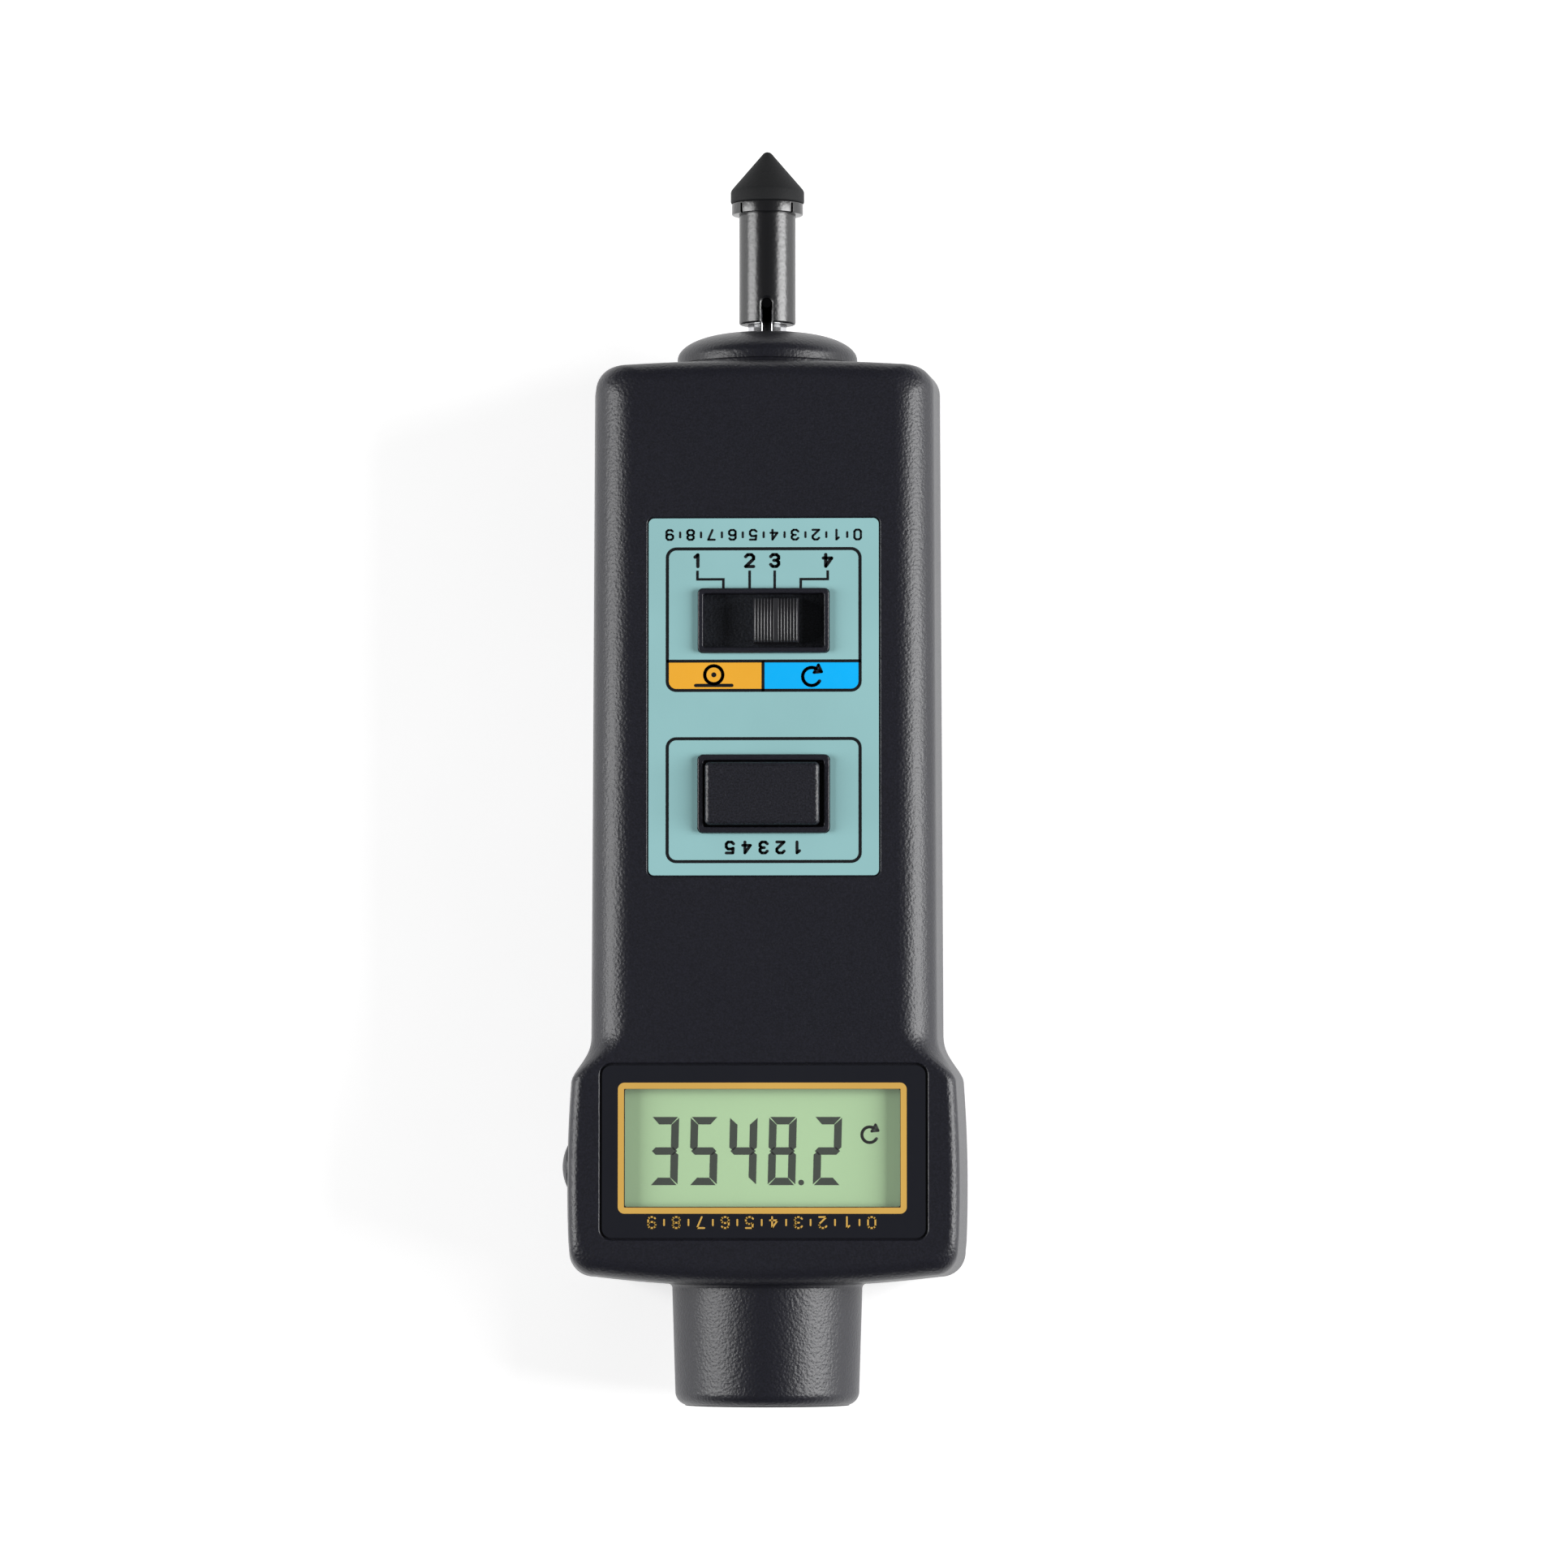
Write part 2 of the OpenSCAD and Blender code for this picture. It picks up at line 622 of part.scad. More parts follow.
module rear_case() {
    color([0.11, 0.11, 0.14]) difference() {
        union() {
            case_shell(-1, back_edge_r, head_edge_r + 1);
            for (p = CASE_SCREWS) rod_z(rear_boss_r, wall - fit, part_z, p[0], p[1]);
            slab(bay_w + 2 * bay_wall, bay_len + 2 * bay_wall, rail_z, bay_roof + bay_wall, 0, bay_y);
            cover_ledges();
            nose_saddle(rail_z, part_z);
            intersection() {
                nose_ring();
                slab(2 * nose_d, 2 * end_y, 0, part_z, 0, end_y);
            }
        }
        slab(bay_w, bay_len, -over, bay_roof, 0, bay_y);
        cover_channel();
        for (p = CASE_SCREWS) rod_z(case_screw_d / 2 + fit, -over, part_z + over, p[0], p[1]);
        for (p = CASE_SCREWS) rod_z(case_screw_head_d / 2 + fit, -over, case_screw_seat, p[0], p[1]);
        end_openings();
    }
}

// Ledges that hold the cover's tongues from inside, past the bay to the contact end
module cover_ledges()
    for (side = [-1, 1])
        slab(2 * bay_wall, end_y - bay_y1 - wall / 2, rail_z, rail_z + 2 * bay_wall,
            side * (bay_w / 2 + bay_wall), (end_y + bay_y1 - wall / 2) / 2);

// Channel that the cover slides in, open at the contact end
module cover_channel() {
    run = 2 * end_y;
    slab(cover_w + 2 * slide_fit, run, -over, rail_z, 0, cover_y0 - slide_fit + run / 2);
    slab(cover_w + 2 * tongue + 2 * slide_fit, run, cover_t - tongue_t - slide_fit, rail_z, 0,
        cover_y0 - slide_fit + run / 2);
}

module battery_cover() {
    run = end_y - cover_y0 + over;
    color([0.12, 0.12, 0.15]) difference() {
        intersection() {
            case_block(-1, back_edge_r, head_edge_r + 1);
            union() {
                slab(cover_w, run, -over, cover_t, 0, cover_y0 + run / 2);
                slab(cover_w + 2 * tongue, run, cover_t - tongue_t, cover_t, 0, cover_y0 + run / 2);
            }
        }
        for (i = [0:grip_grooves - 1])
            slab(cover_w * groove_len_share, groove_w, -over, groove_depth, 0,
                end_y - end_edge_r * 3 - 2 * groove_w * i);
    }
}

module label_plate() {
    color([0.59, 0.77, 0.78]) difference() {
        plate(label_w, label_len, window_r / 2, case_t - label_t, case_t, 0, label_y);
        plate(switch_frame_w + 2 * fit, switch_frame_h + 2 * fit, switch_rim, face_in, case_t + over,
            0, switch_y);
        plate(key_frame_w + 2 * fit, key_frame_h + 2 * fit, key_rim, face_in, case_t + over, 0, key_y);
    }
}

module display_window() {
    color([0.08, 0.08, 0.1]) plate(window_w, window_h, window_r, window_seat, window_seat + window_t, 0, window_y);
}

module lcd_glass() {
    color([0.69, 0.82, 0.64]) slab(lcd_w, lcd_h, lcd_z, face_in, view_x, view_y);
}

module lcd_frame() {
    color([0.85, 0.85, 0.82]) difference() {
        slab(frame_w, frame_h, board_top, face_in, view_x, view_y);
        slab(lcd_w + 2 * fit, lcd_h + 2 * fit, lcd_z, face_in + over, view_x, view_y);
        slab(lcd_w - 2 * lcd_ledge, lcd_h - 2 * lcd_ledge, board_top - over, lcd_z + over, view_x, view_y);
        boss_notches(board_top, face_in);
    }
}

// Room round the bosses of the case screws in a piece between two heights
module boss_notches(z0, z1)
    for (p = CASE_SCREWS) rod_z(boss_r + stand_off, z0 - over, z1 + over, p[0], p[1]);

module zebra_strips() {
    color([0.3, 0.3, 0.32])
        for (side = [-1, 1])
            slab(lcd_w - 2 * lcd_ledge - 2 * fit, zebra_w, board_top, lcd_z, view_x,
                view_y + side * (lcd_h / 2 - lcd_ledge - fit - zebra_w / 2));
}

module main_board() {
    color([0.1, 0.35, 0.18]) difference() {
        translate([0, 0, board_z]) linear_extrude(board_t) polygon([
            [board_w / 2, board_y1], [board_w / 2, board_head_y], [board_head_w / 2, board_head_y],
            [board_head_w / 2, board_y0], [-board_head_w / 2, board_y0],
            [-board_head_w / 2, board_head_y], [-board_w / 2, board_head_y], [-board_w / 2, board_y1]]);
        for (p = BOARD_SCREWS) rod_z(board_screw_d / 2 + fit, board_z - over, board_top + over, p[0], p[1]);
        boss_notches(board_z, board_top);
    }
}

// Processor, memory and amplifier under the board, each with its own leads, and the crystal
module board_chips() {
    for (i = [0:len(chip_shares) - 1]) let (c = chip_shares[i] * board_w)
        chip(c[0], c[1], c[2], chip_leads[i], c[3], key_y + c[4]);
    can = crystal_shares * board_w;
    color([0.75, 0.75, 0.78]) plate(can[0], can[1], can[2], board_z - board_w * crystal_can, board_z,
        can[3], key_y + can[4]);
}

module chip(w, h, t, leads, x, y) {
    lead = w / leads / 2;
    color([0.1, 0.1, 0.1]) slab(w, h, board_z - t, board_z, x, y);
    color([0.8, 0.8, 0.8])
        for (side = [-1, 1], i = [0:leads - 1])
            slab(lead, 2 * lead, board_z - t / 2, board_z, x + w * ((i + 0.5) / leads - 0.5),
                y + side * (h / 2 + lead));
}

module slide_switch_body() {
    travel = (selector_steps - 1) * selector_pitch;
    color([0.07, 0.07, 0.08]) difference() {
        slab(switch_body_w, switch_body_h, board_top, switch_body_top, 0, switch_y);
        slab(travel + stem_w + 2 * slide_fit, switch_slot_w, switch_body_top - stem_len - stand_off,
            switch_body_top + over, 0, switch_y);
    }
}

// Selector knob: ribbed across its top, with a dished middle, on a stem that enters the switch,
// and with a thin shutter that keeps the frame's opening closed at every position
module switch_knob() {
    top = case_t + knob_rise;
    pitch = knob_w / knob_ribs;
    color([0.1, 0.1, 0.11]) union() {
        difference() {
            plate(knob_w, knob_w, knob_rib_depth, knob_z, top, selector_x, switch_y);
            for (i = [1:knob_ribs - 1])
                slab(pitch * knob_rib_share, knob_w + over, top - knob_rib_depth, top + over,
                    selector_x + pitch * (i - knob_ribs / 2), switch_y);
            dish_r = knob_w * 0.9;
            translate([selector_x, switch_y + knob_w, top + dish_r - knob_dish])
                rotate([90, 0, 0]) cylinder(r = dish_r, h = 2 * knob_w);
        }
        slab(stem_w, stem_w, knob_z - stem_len - stand_off + fit, knob_z + fit, selector_x, switch_y);
        slab(shutter_w, switch_frame_h - switch_rim, knob_z, knob_z + shutter_t, selector_x, switch_y);
    }
}

module memory_button() {
    top = case_t + key_rise;
    ring = function (z, inset) [for (p = round_rect(key_w - 2 * inset, key_h - 2 * inset, key_edge_r + fit - inset / 2))
        [p[0] + key_x, p[1] + key_y, z]];
    color([0.12, 0.12, 0.15]) union() {
        loft([ring(key_base, 0), ring(top - key_edge_r, 0), ring(top - key_edge_r * 0.35, key_edge_r * 0.25),
            ring(top, key_edge_r)], flip = true);
        slab(key_w + 2 * key_lip, key_h + 2 * key_lip, key_base, key_base + key_lip_t, key_x, key_y);
        rod_z(key_stem_r, key_stem_end, key_base + fit, key_x, key_y);
    }
}

module memory_switch() {
    color([0.1, 0.1, 0.11]) difference() {
        slab(key_switch_w, key_switch_w, board_top, key_switch_top, key_x, key_y);
        rod_z(plunger_r + run_fit, key_switch_top - plunger_in - key_travel - stand_off, key_switch_top + over,
            key_x, key_y);
    }
}

module memory_plunger() {
    color([0.75, 0.6, 0.35]) rod_z(plunger_r, key_switch_top - plunger_in, key_stem_end, key_x, key_y);
}

// Children drawn along +Z from z = 0 are laid along -X from the middle of the case at the measure button
module along_left() translate([0, measure_y, axis_z]) rotate([0, -90, 0]) children();

module measure_button() {
    tip = head_w / 2 + measure_rise;
    dome = measure_rise + 0.1;
    dome_r = (measure_r * measure_r + dome * dome) / (2 * dome);
    sweep = asin(measure_r / dome_r);
    color([0.1, 0.1, 0.12]) along_left() rotate_extrude() polygon(concat(
        [[0, measure_base_x], [measure_r + measure_lip, measure_base_x],
        [measure_r + measure_lip, measure_lip_x], [measure_r, measure_lip_x]],
        [for (p = arc(0, tip - dome_r, dome_r, 90 - sweep, 90)) [max(p[0], 0), p[1]]]));
}

module measure_plunger() {
    color([0.75, 0.6, 0.35]) along_left() translate([0, 0, measure_switch_x - plunger_in])
        cylinder(r = measure_plunger_r, h = measure_base_x - measure_switch_x + plunger_in);
}

// Right-angle switch that hangs from the board on two lugs
module measure_switch() {
    w = measure_switch_w;
    color([0.1, 0.1, 0.11]) difference() {
        union() {
            slab(measure_switch_t, w, axis_z - w / 2, axis_z + w / 2, measure_switch_t / 2 - measure_switch_x,
                measure_y);
            for (side = [-1, 1])
                slab(measure_switch_t / 2, w / 5, axis_z + w / 2 - fit, board_z,
                    measure_switch_t / 2 - measure_switch_x, measure_y + side * w * 0.35);
        }
        along_left() translate([0, 0, measure_switch_x - plunger_in - measure_travel - stand_off])
            cylinder(r = measure_plunger_r + run_fit, h = measure_switch_t);
    }
}

module case_screws() {
    color([0.7, 0.7, 0.72])
        for (p = CASE_SCREWS) difference() {
            union() {
                rod_z(case_screw_head_d / 2, case_screw_seat - case_screw_head_h, case_screw_seat, p[0], p[1]);
                rod_z(case_screw_d / 2, case_screw_seat - fit, part_z + case_screw_grip, p[0], p[1]);
            }
            cross_slot(case_screw_head_d, case_screw_seat - case_screw_head_h, p);
        }
}

// Cross recess cut up into a screw head from below
module cross_slot(head_d, z, p) {
    w = head_d / 7;
    slab(head_d * 0.6, w, z - over, z + head_d / 5, p[0], p[1]);
    slab(w, head_d * 0.6, z - over, z + head_d / 5, p[0], p[1]);
}

module board_screws() {
    color([0.7, 0.7, 0.72]) {
        for (p = BOARD_SCREWS) board_screw(p, board_z);
        for (p = PICKUP_SCREWS) board_screw(p, pickup_z);
    }
}

module board_screw(p, under) difference() {
    union() {
        rod_z(board_screw_head_d / 2, under - board_screw_head_h, under, p[0], p[1]);
        rod_z(board_screw_d / 2, under - fit, min(under + board_screw_len, face_in - fit), p[0], p[1]);
    }
    cross_slot(board_screw_head_d, under - board_screw_head_h, p);
}

// Nose and bearing tube in one turned piece, with a collar behind the saddle ribs
module nose_housing() {
    r = nose_d / 2;
    bore = bearing_d / 2 + run_fit / 2;
    hole = shaft_r + stand_off;
    color([0.11, 0.11, 0.14]) turned(concat(
        [[bore, housing_y0], [housing_r, housing_y0],
        [housing_r, saddle_y + saddle_t + run_fit], [collar_r, saddle_y + saddle_t + run_fit],
        [collar_r, saddle_y + saddle_t + collar_t], [housing_r, saddle_y + saddle_t + collar_t],
        [housing_r, nose_seat]],
        [[r, nose_seat]],
        arc(r - nose_edge_r, nose_face - nose_edge_r, nose_edge_r, 0, 90, 10),
        [[hole, nose_face], [hole, front_bearing_y + bearing_w + run_fit],
        [bore, front_bearing_y + bearing_w + run_fit]]));
}

// Shielded ball bearing as one ring, with the shields set back between its two races
module ball_bearing(y) {
    r_in = shaft_r + run_fit;
    r_out = bearing_d / 2;
    race = (r_out - r_in) * 0.28;
    set_back = bearing_w / 12;
    turned([[r_in, y], [r_in + race, y], [r_in + race, y + set_back], [r_out - race, y + set_back],
        [r_out - race, y], [r_out, y], [r_out, y + bearing_w], [r_out - race, y + bearing_w],
        [r_out - race, y + bearing_w - set_back], [r_in + race, y + bearing_w - set_back],
        [r_in + race, y + bearing_w], [r_in, y + bearing_w]]);
}

module front_bearing() color([0.75, 0.75, 0.78]) ball_bearing(front_bearing_y);

module rear_bearing() color([0.75, 0.75, 0.78]) ball_bearing(rear_bearing_y);

// Sleeve that keeps the outer races apart
module bearing_spacer() {
    color([0.72, 0.62, 0.38]) tube_y(bearing_d / 2, bearing_d / 2 - 1.2, rear_bearing_y + bearing_w, front_bearing_y);
}

module contact_shaft() {
    bevel = shaft_r / 8;
    color([0.8, 0.8, 0.82]) difference() {
        turned([[0, shaft_y0], [shaft_r - bevel, shaft_y0], [shaft_r, shaft_y0 + bevel],
            [shaft_r, shaft_y1 - bevel], [shaft_r - bevel, shaft_y1], [0, shaft_y1]]);
        rod_z(drive_pin_d / 2 + run_fit / 2, axis_z - sleeve_d, axis_z + sleeve_d, 0, pin_y);
    }
}

module drive_pin() {
    color([0.6, 0.6, 0.62]) rod_z(drive_pin_d / 2, axis_z - sleeve_d / 2 + stand_off,
        axis_z + sleeve_d / 2 - stand_off, 0, pin_y);
}

// Disc with open slots round its rim, on a hub that the shaft passes through
module encoder_disc() {
    step = 360 / disc_slots;
    low = disc_r - tooth_depth;
    teeth = [for (i = [0:disc_slots - 1]) let (a = i * step, b = (i + 0.5) * step) each
        [[low * cos(a), low * sin(a)], [disc_r * cos(a), disc_r * sin(a)],
        [disc_r * cos(b), disc_r * sin(b)], [low * cos(b), low * sin(b)]]];
    color([0.15, 0.15, 0.16]) along_y() translate([0, 0, disc_y]) difference() {
        union() {
            linear_extrude(disc_t) polygon(teeth);
            cylinder(r = hub_r, h = disc_t + hub_len);
        }
        translate([0, 0, -over]) cylinder(r = shaft_r + run_fit / 2, h = disc_t + hub_len + 2 * over);
    }
}

module retaining_ring() {
    color([0.5, 0.5, 0.52]) tube_y(ring_r, shaft_r + run_fit / 2, disc_y + disc_t + hub_len,
        rear_bearing_y - run_fit);
}

module slot_sensor() {
    mid = disc_y + disc_t / 2;
    color([0.09, 0.09, 0.1]) difference() {
        slab(sensor_w, sensor_gap + 2 * sensor_arm, sensor_low, pickup_z, 0, mid);
        slab(sensor_w + 2 * over, sensor_gap, sensor_low - over, axis_z + disc_r + 0.5, 0, mid);
        along_y() cylinder(r = hub_r + stand_off, h = end_y);
    }
}

module pickup_board() {
    color([0.1, 0.35, 0.18]) difference() {
        slab(pickup_w, pickup_len, pickup_z, pickup_z + board_t, 0, pickup_y);
        for (p = PICKUP_SCREWS)
            rod_z(board_screw_d / 2 + fit, pickup_z - over, pickup_z + board_t + over, p[0], p[1]);
    }
}

// Light hood: flared root in the case's end, tapering to a round mouth, with a collar inside
module light_hood() {
    root_r = hood_root_d / 2;
    mouth_r = hood_mouth_d / 2;
    color([0.12, 0.12, 0.15]) turned(concat(
        [[hood_bore_r, hood_collar_y + hood_collar_t], [hood_bore_r, hood_y + hood_edge_r / 3],
        [hood_bore_r + hood_edge_r / 3, hood_y]],
        arc(mouth_r - hood_edge_r, hood_y + hood_edge_r, hood_edge_r, -90, 0, 8),
        arc(root_r + hood_flare, hood_flare_y - hood_flare, hood_flare, 180, 90),
        [[root_r + hood_flare, hood_seat], [hood_neck_r, hood_seat], [hood_neck_r, hood_collar_y],
        [hood_collar_r, hood_collar_y], [hood_collar_r, hood_collar_y + hood_collar_t]]));
}

module lens_ring() {
    color([0.1, 0.1, 0.1]) tube_y(hood_bore_r - run_fit, hood_bore_r - lens_ring_lip, hood_y + lens_recess,
        lens_front);
}

// Plano-convex lens, its dome towards the mouth
module lens() {
    r = hood_bore_r - fit;
    rise = lens_t - lens_edge_t;
    dome_r = (r * r + rise * rise) / (2 * rise);
    seat = lens_ring_lip;
    sweep = asin((r - seat) / dome_r);
    drop = dome_r * (1 - cos(sweep));
    color([0.8, 0.85, 0.9, 0.5]) turned(concat(
        [[0, lens_back], [0, lens_front - drop]],
        [for (i = [1:arc_steps]) let (a = sweep * i / arc_steps)
            [dome_r * sin(a), lens_front - drop + dome_r * (1 - cos(a))]],
        [[r, lens_front], [r, lens_back]]));
}

// Tube that holds the lens forward, divided so that the lamp doesn't shine into the sensor
module lens_tube() {
    r_in = hood_bore_r - fit - tube_wall;
    color([0.08, 0.08, 0.09]) union() {
        tube_y(hood_bore_r - fit, r_in, lens_back, optics_y);
        translate([-septum_t / 2, septum_y, axis_z - r_in - tube_wall / 2])
            cube([septum_t, optics_y - septum_y, 2 * r_in + tube_wall]);
    }
}

module lamp() {
    y = optics_y - holder_len;
    color([0.9, 0.9, 0.85, 0.6]) translate([-optic_x, 0, 0]) turned(concat(
        [[0, y], [lamp_r, y]],
        [for (p = arc(0, y - lamp_len + lamp_r, lamp_r, 0, -90)) [max(p[0], 0), p[1]]]));
}

module lamp_holder() {
    color([0.75, 0.7, 0.5]) rod_y(holder_r, optics_y - holder_len, optics_y, -optic_x);
}

module light_sensor() {
    y = optics_y - sensor_len;
    color([0.6, 0.6, 0.65]) translate([optic_x, 0, 0]) turned(concat(
        [[0, optics_y], [sensor_r, optics_y], [sensor_r, y]],
        [for (p = arc(0, y, sensor_r * 0.8, 0, -90)) [max(p[0], 0), p[1]]]));
}

module optics_board() {
    color([0.1, 0.35, 0.18]) translate([-optics_w / 2, optics_y, axis_z - optics_h / 2])
        cube([optics_w, board_t, optics_h]);
}

// Two rows of two cells, the rows facing opposite ways
module battery_cells() {
    for (side = [-1, 1], i = [0, 1])
        translate([side * cell_x, 0, 0]) {
            from_wall = spring_len + contact_t + i * (cell_len + fit);
            one_cell(side < 0 ? bay_y0 + from_wall : bay_y1 - from_wall, -side);
        }
}

module one_cell(start, way) {
    nub_r = cell_d * 0.19;
    nub_h = 1;
    color([0.2, 0.3, 0.25]) translate([0, start, cell_z]) rotate([-90 * way, 0, 0]) union() {
        cylinder(r = cell_d / 2, h = cell_len - nub_h);
        cylinder(r = nub_r, h = cell_len);
    }
}

// Conical contact springs, one at each row's flat end
module battery_springs() {
    wire = 0.8;
    turns = 3;
    wide = cell_d * 0.3;
    narrow = cell_d * 0.2;
    rings_per_turn = 12;
    count = turns * rings_per_turn;
    rise = spring_len - wire;
    spine = [for (i = [0:count]) let (s = i / count, r = wide + (narrow - wide) * s, a = 360 * turns * s)
        [r * cos(a), r * sin(a), wire / 2 + rise * s]];
    rings = [for (i = [0:count]) let (
            a = 360 * turns * i / count,
            out = [cos(a), sin(a), 0])
        [for (k = [0:5]) let (b = -60 * k) spine[i] + wire / 2 * (cos(b) * out + [0, 0, sin(b)])]];
    color([0.8, 0.8, 0.8])
        for (side = [-1, 1])
            translate([side * cell_x, side < 0 ? bay_y0 + contact_t : bay_y1 - contact_t, cell_z])
                rotate([side * 90, 0, 0]) loft(rings);
}

module battery_plates() {
    w = cell_d * 0.6;
    color([0.8, 0.8, 0.8])
        for (side = [-1, 1], end = [-1, 1])
            translate([side * cell_x - w / 2, end < 0 ? bay_y0 : bay_y1 - contact_t, cell_z - w / 2])
                cube([w, contact_t, w]);
}

// Contact adapter: slotted sleeve, notched flange and a spigot for the rubber cone
module adapter_sleeve() {
    r = sleeve_d / 2;
    bevel = 0.4;
    color([0.1, 0.1, 0.11]) difference() {
        turned([[shaft_r + run_fit, sleeve_y], [r - bevel, sleeve_y], [r, sleeve_y + bevel],
            [r, flange_y], [flange_d / 2 - bevel / 2, flange_y], [flange_d / 2, flange_y + bevel / 2],
            [flange_d / 2, cone_y], [spigot_r, cone_y], [spigot_r, cone_y + spigot_len],
            [0, cone_y + spigot_len], [0, sleeve_y + socket_depth], [shaft_r + run_fit, sleeve_y + socket_depth]]);
        slab(slot_w, slot_len - slot_w / 2 + over, axis_z - sleeve_d, axis_z + sleeve_d, 0,
            sleeve_y + (slot_len - slot_w / 2 - over) / 2);
        rod_z(slot_w / 2, axis_z - sleeve_d, axis_z + sleeve_d, 0, sleeve_y + slot_len - slot_w / 2);
        for (a = [45:90:315])
            along_y() rotate([0, 0, a])
                translate([flange_d / 2 - notch_depth, -notch_w / 2, flange_y - over])
                    cube([notch_depth + over, notch_w, flange_t * 0.6 + over]);
    }
}

module rubber_cone() {
    r = cone_d / 2;
    skirt = cone_y + cone_skirt;
    apex = skirt + r / tan(cone_half_angle);
    tip_y = apex - cone_tip_r / sin(cone_half_angle);
    color([0.09, 0.09, 0.1]) turned(concat(
        [[spigot_r + run_fit, cone_y], [r - 0.3, cone_y], [r, cone_y + 0.3], [r, skirt]],
        [for (p = arc(0, tip_y, cone_tip_r, cone_half_angle, 90)) [max(p[0], 0), p[1]]],
        [[0, cone_y + spigot_len + run_fit], [spigot_r + run_fit, cone_y + spigot_len + run_fit]]));
}

front_case();
rear_case();
label_plate();
display_window();
lcd_glass();
lcd_frame();
zebra_strips();
main_board();
board_chips();
slide_switch_body();
memory_switch();
measure_switch();
case_screws();
board_screws();
nose_housing();
front_bearing();
rear_bearing();
bearing_spacer();
pickup_board();
slot_sensor();
light_hood();
lens_tube();
lens();
lens_ring();
lamp();
lamp_holder();
light_sensor();
optics_board();
battery_cells();
battery_springs();
battery_plates();
battery_cover();
switch_knob();
memory_button();
memory_plunger();
measure_button();
measure_plunger();
contact_shaft();
drive_pin();
encoder_disc();
retaining_ring();
adapter_sleeve();
rubber_cone();
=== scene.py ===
"""Looks of the contact tachometer. Lengths are millimetres until make() turns them into metres.
+X right, +Y towards the contact tip, +Z up out of the front face; the back lies on z = 0."""

import math

import bmesh
import bpy
from mathutils import Matrix, Vector
from mathutils.geometry import tessellate_polygon


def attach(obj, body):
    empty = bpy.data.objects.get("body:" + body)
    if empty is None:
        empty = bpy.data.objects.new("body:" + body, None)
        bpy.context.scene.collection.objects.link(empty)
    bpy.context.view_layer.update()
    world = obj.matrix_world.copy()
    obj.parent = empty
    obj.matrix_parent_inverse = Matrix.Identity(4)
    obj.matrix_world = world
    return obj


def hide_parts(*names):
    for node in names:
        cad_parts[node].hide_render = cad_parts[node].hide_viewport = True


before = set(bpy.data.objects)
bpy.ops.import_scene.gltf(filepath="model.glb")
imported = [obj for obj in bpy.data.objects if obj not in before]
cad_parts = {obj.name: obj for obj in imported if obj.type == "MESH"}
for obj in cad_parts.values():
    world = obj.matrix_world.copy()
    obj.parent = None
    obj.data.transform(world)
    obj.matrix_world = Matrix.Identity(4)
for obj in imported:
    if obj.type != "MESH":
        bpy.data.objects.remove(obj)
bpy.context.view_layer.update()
MM = 0.001

# Case
CASE_LEN, CASE_T, WALL = 149.6, 38.0, 2.2
GRIP_W, WAIST_W, HEAD_W = 56.3, 57.2, 65.0
GRIP_EDGE_R, HEAD_EDGE_R, END_EDGE_R, BACK_EDGE_R, CORNER_R = 6.0, 1.7, 3.0, 4.0, 4.0
SIDE_DRAFT, END_DRAFT = math.radians(3.9), math.radians(1.6)
GRIP_END_CROWN, HEAD_END_CROWN, HEAD_BARREL = 0.9, 2.3, 0.6
HEAD_LEN, SHOULDER_LEN, SHOULDER_LIFT, SHOULDER_BIAS = 33.0, 8.2, 2.3, 1.4
PART_Z = AXIS_Z = CASE_T / 2
FACE_IN = CASE_T - WALL
END_Y = CASE_LEN / 2
SEAM = 0.16

# Front panel
LABEL_W, LABEL_LEN, LABEL_T, LABEL_Y, LABEL_R = 36.9, 57.3, 0.5, 19.9, 0.9
BEZEL_RISE = 0.9
SWITCH_W, SWITCH_H, SWITCH_Y, SWITCH_RIM = 21.0, 10.3, 32.1, 0.8
KEY_FRAME_W, KEY_FRAME_H, KEY_Y, KEY_RIM = 21.1, 12.5, 4.3, 0.9
WINDOW_W, WINDOW_H, WINDOW_T, WINDOW_Y, WINDOW_R, WINDOW_GAP = 51.7, 27.5, 0.7, -52.9, 1.5, 0.35
VIEW_W, VIEW_H, VIEW_X, VIEW_Y = 44.0, 18.8, -0.2, -52.3
KEY_W, KEY_H, KEY_X, KEY_TOP = 18.3, 10.1, -0.2, CASE_T + 2.2
KNOB_W, KNOB_X, KNOB_TOP, KNOB_RIBS = 7.2, 2.0, CASE_T + 1.7, 13
KNOB_DISH, KNOB_RIB, KNOB_BARE, KNOB_BASE = 0.45, 0.26, 0.1, FACE_IN - 0.6

# Prints
INK_T = 0.02
FRAME_X, FRAME_R, FRAME_LINE = 15.7, 1.7, 0.5
FRAME_1, FRAME_2 = (20.65, 43.9), (-6.8, 13.4)
DIVIDE_X, DIVIDE_Y, DIVIDE_LINE = -0.1, 25.6, 0.48
LEAD_X, LEAD_OUT = (-6.46, -2.25, 1.77, 5.95), (-10.62, -2.25, 1.77, 10.27)
LEAD_TURN, LEAD_TOP, LEAD_LINE = 38.75, 40.15, 0.4
TITLE_Y, TITLE_PITCH, TITLE_H = 45.9, 3.35, 1.55
KEY_ROW_Y, KEY_ROW_H, KEY_ROW_PITCH = -4.3, 1.75, 2.7
ICON_R, ICON_LINE = 1.45, 0.27
POSITION_Y, POSITION_H, POSITION_LINE = 41.75, 1.9, 0.52
TITLE_LINE, KEY_ROW_LINE = 0.34, 0.46
FIELD_GAP, LABEL_GAP = 0.2, 0.16
TURN_ICON, WHEEL_ICON = (7.7, 23.1), (-8.0, 23.1)
GOLD_X, GOLD_Y, GOLD_LINE, GOLD_R = (-23.3, 22.85), (-62.8, -41.9), 0.98, 1.05
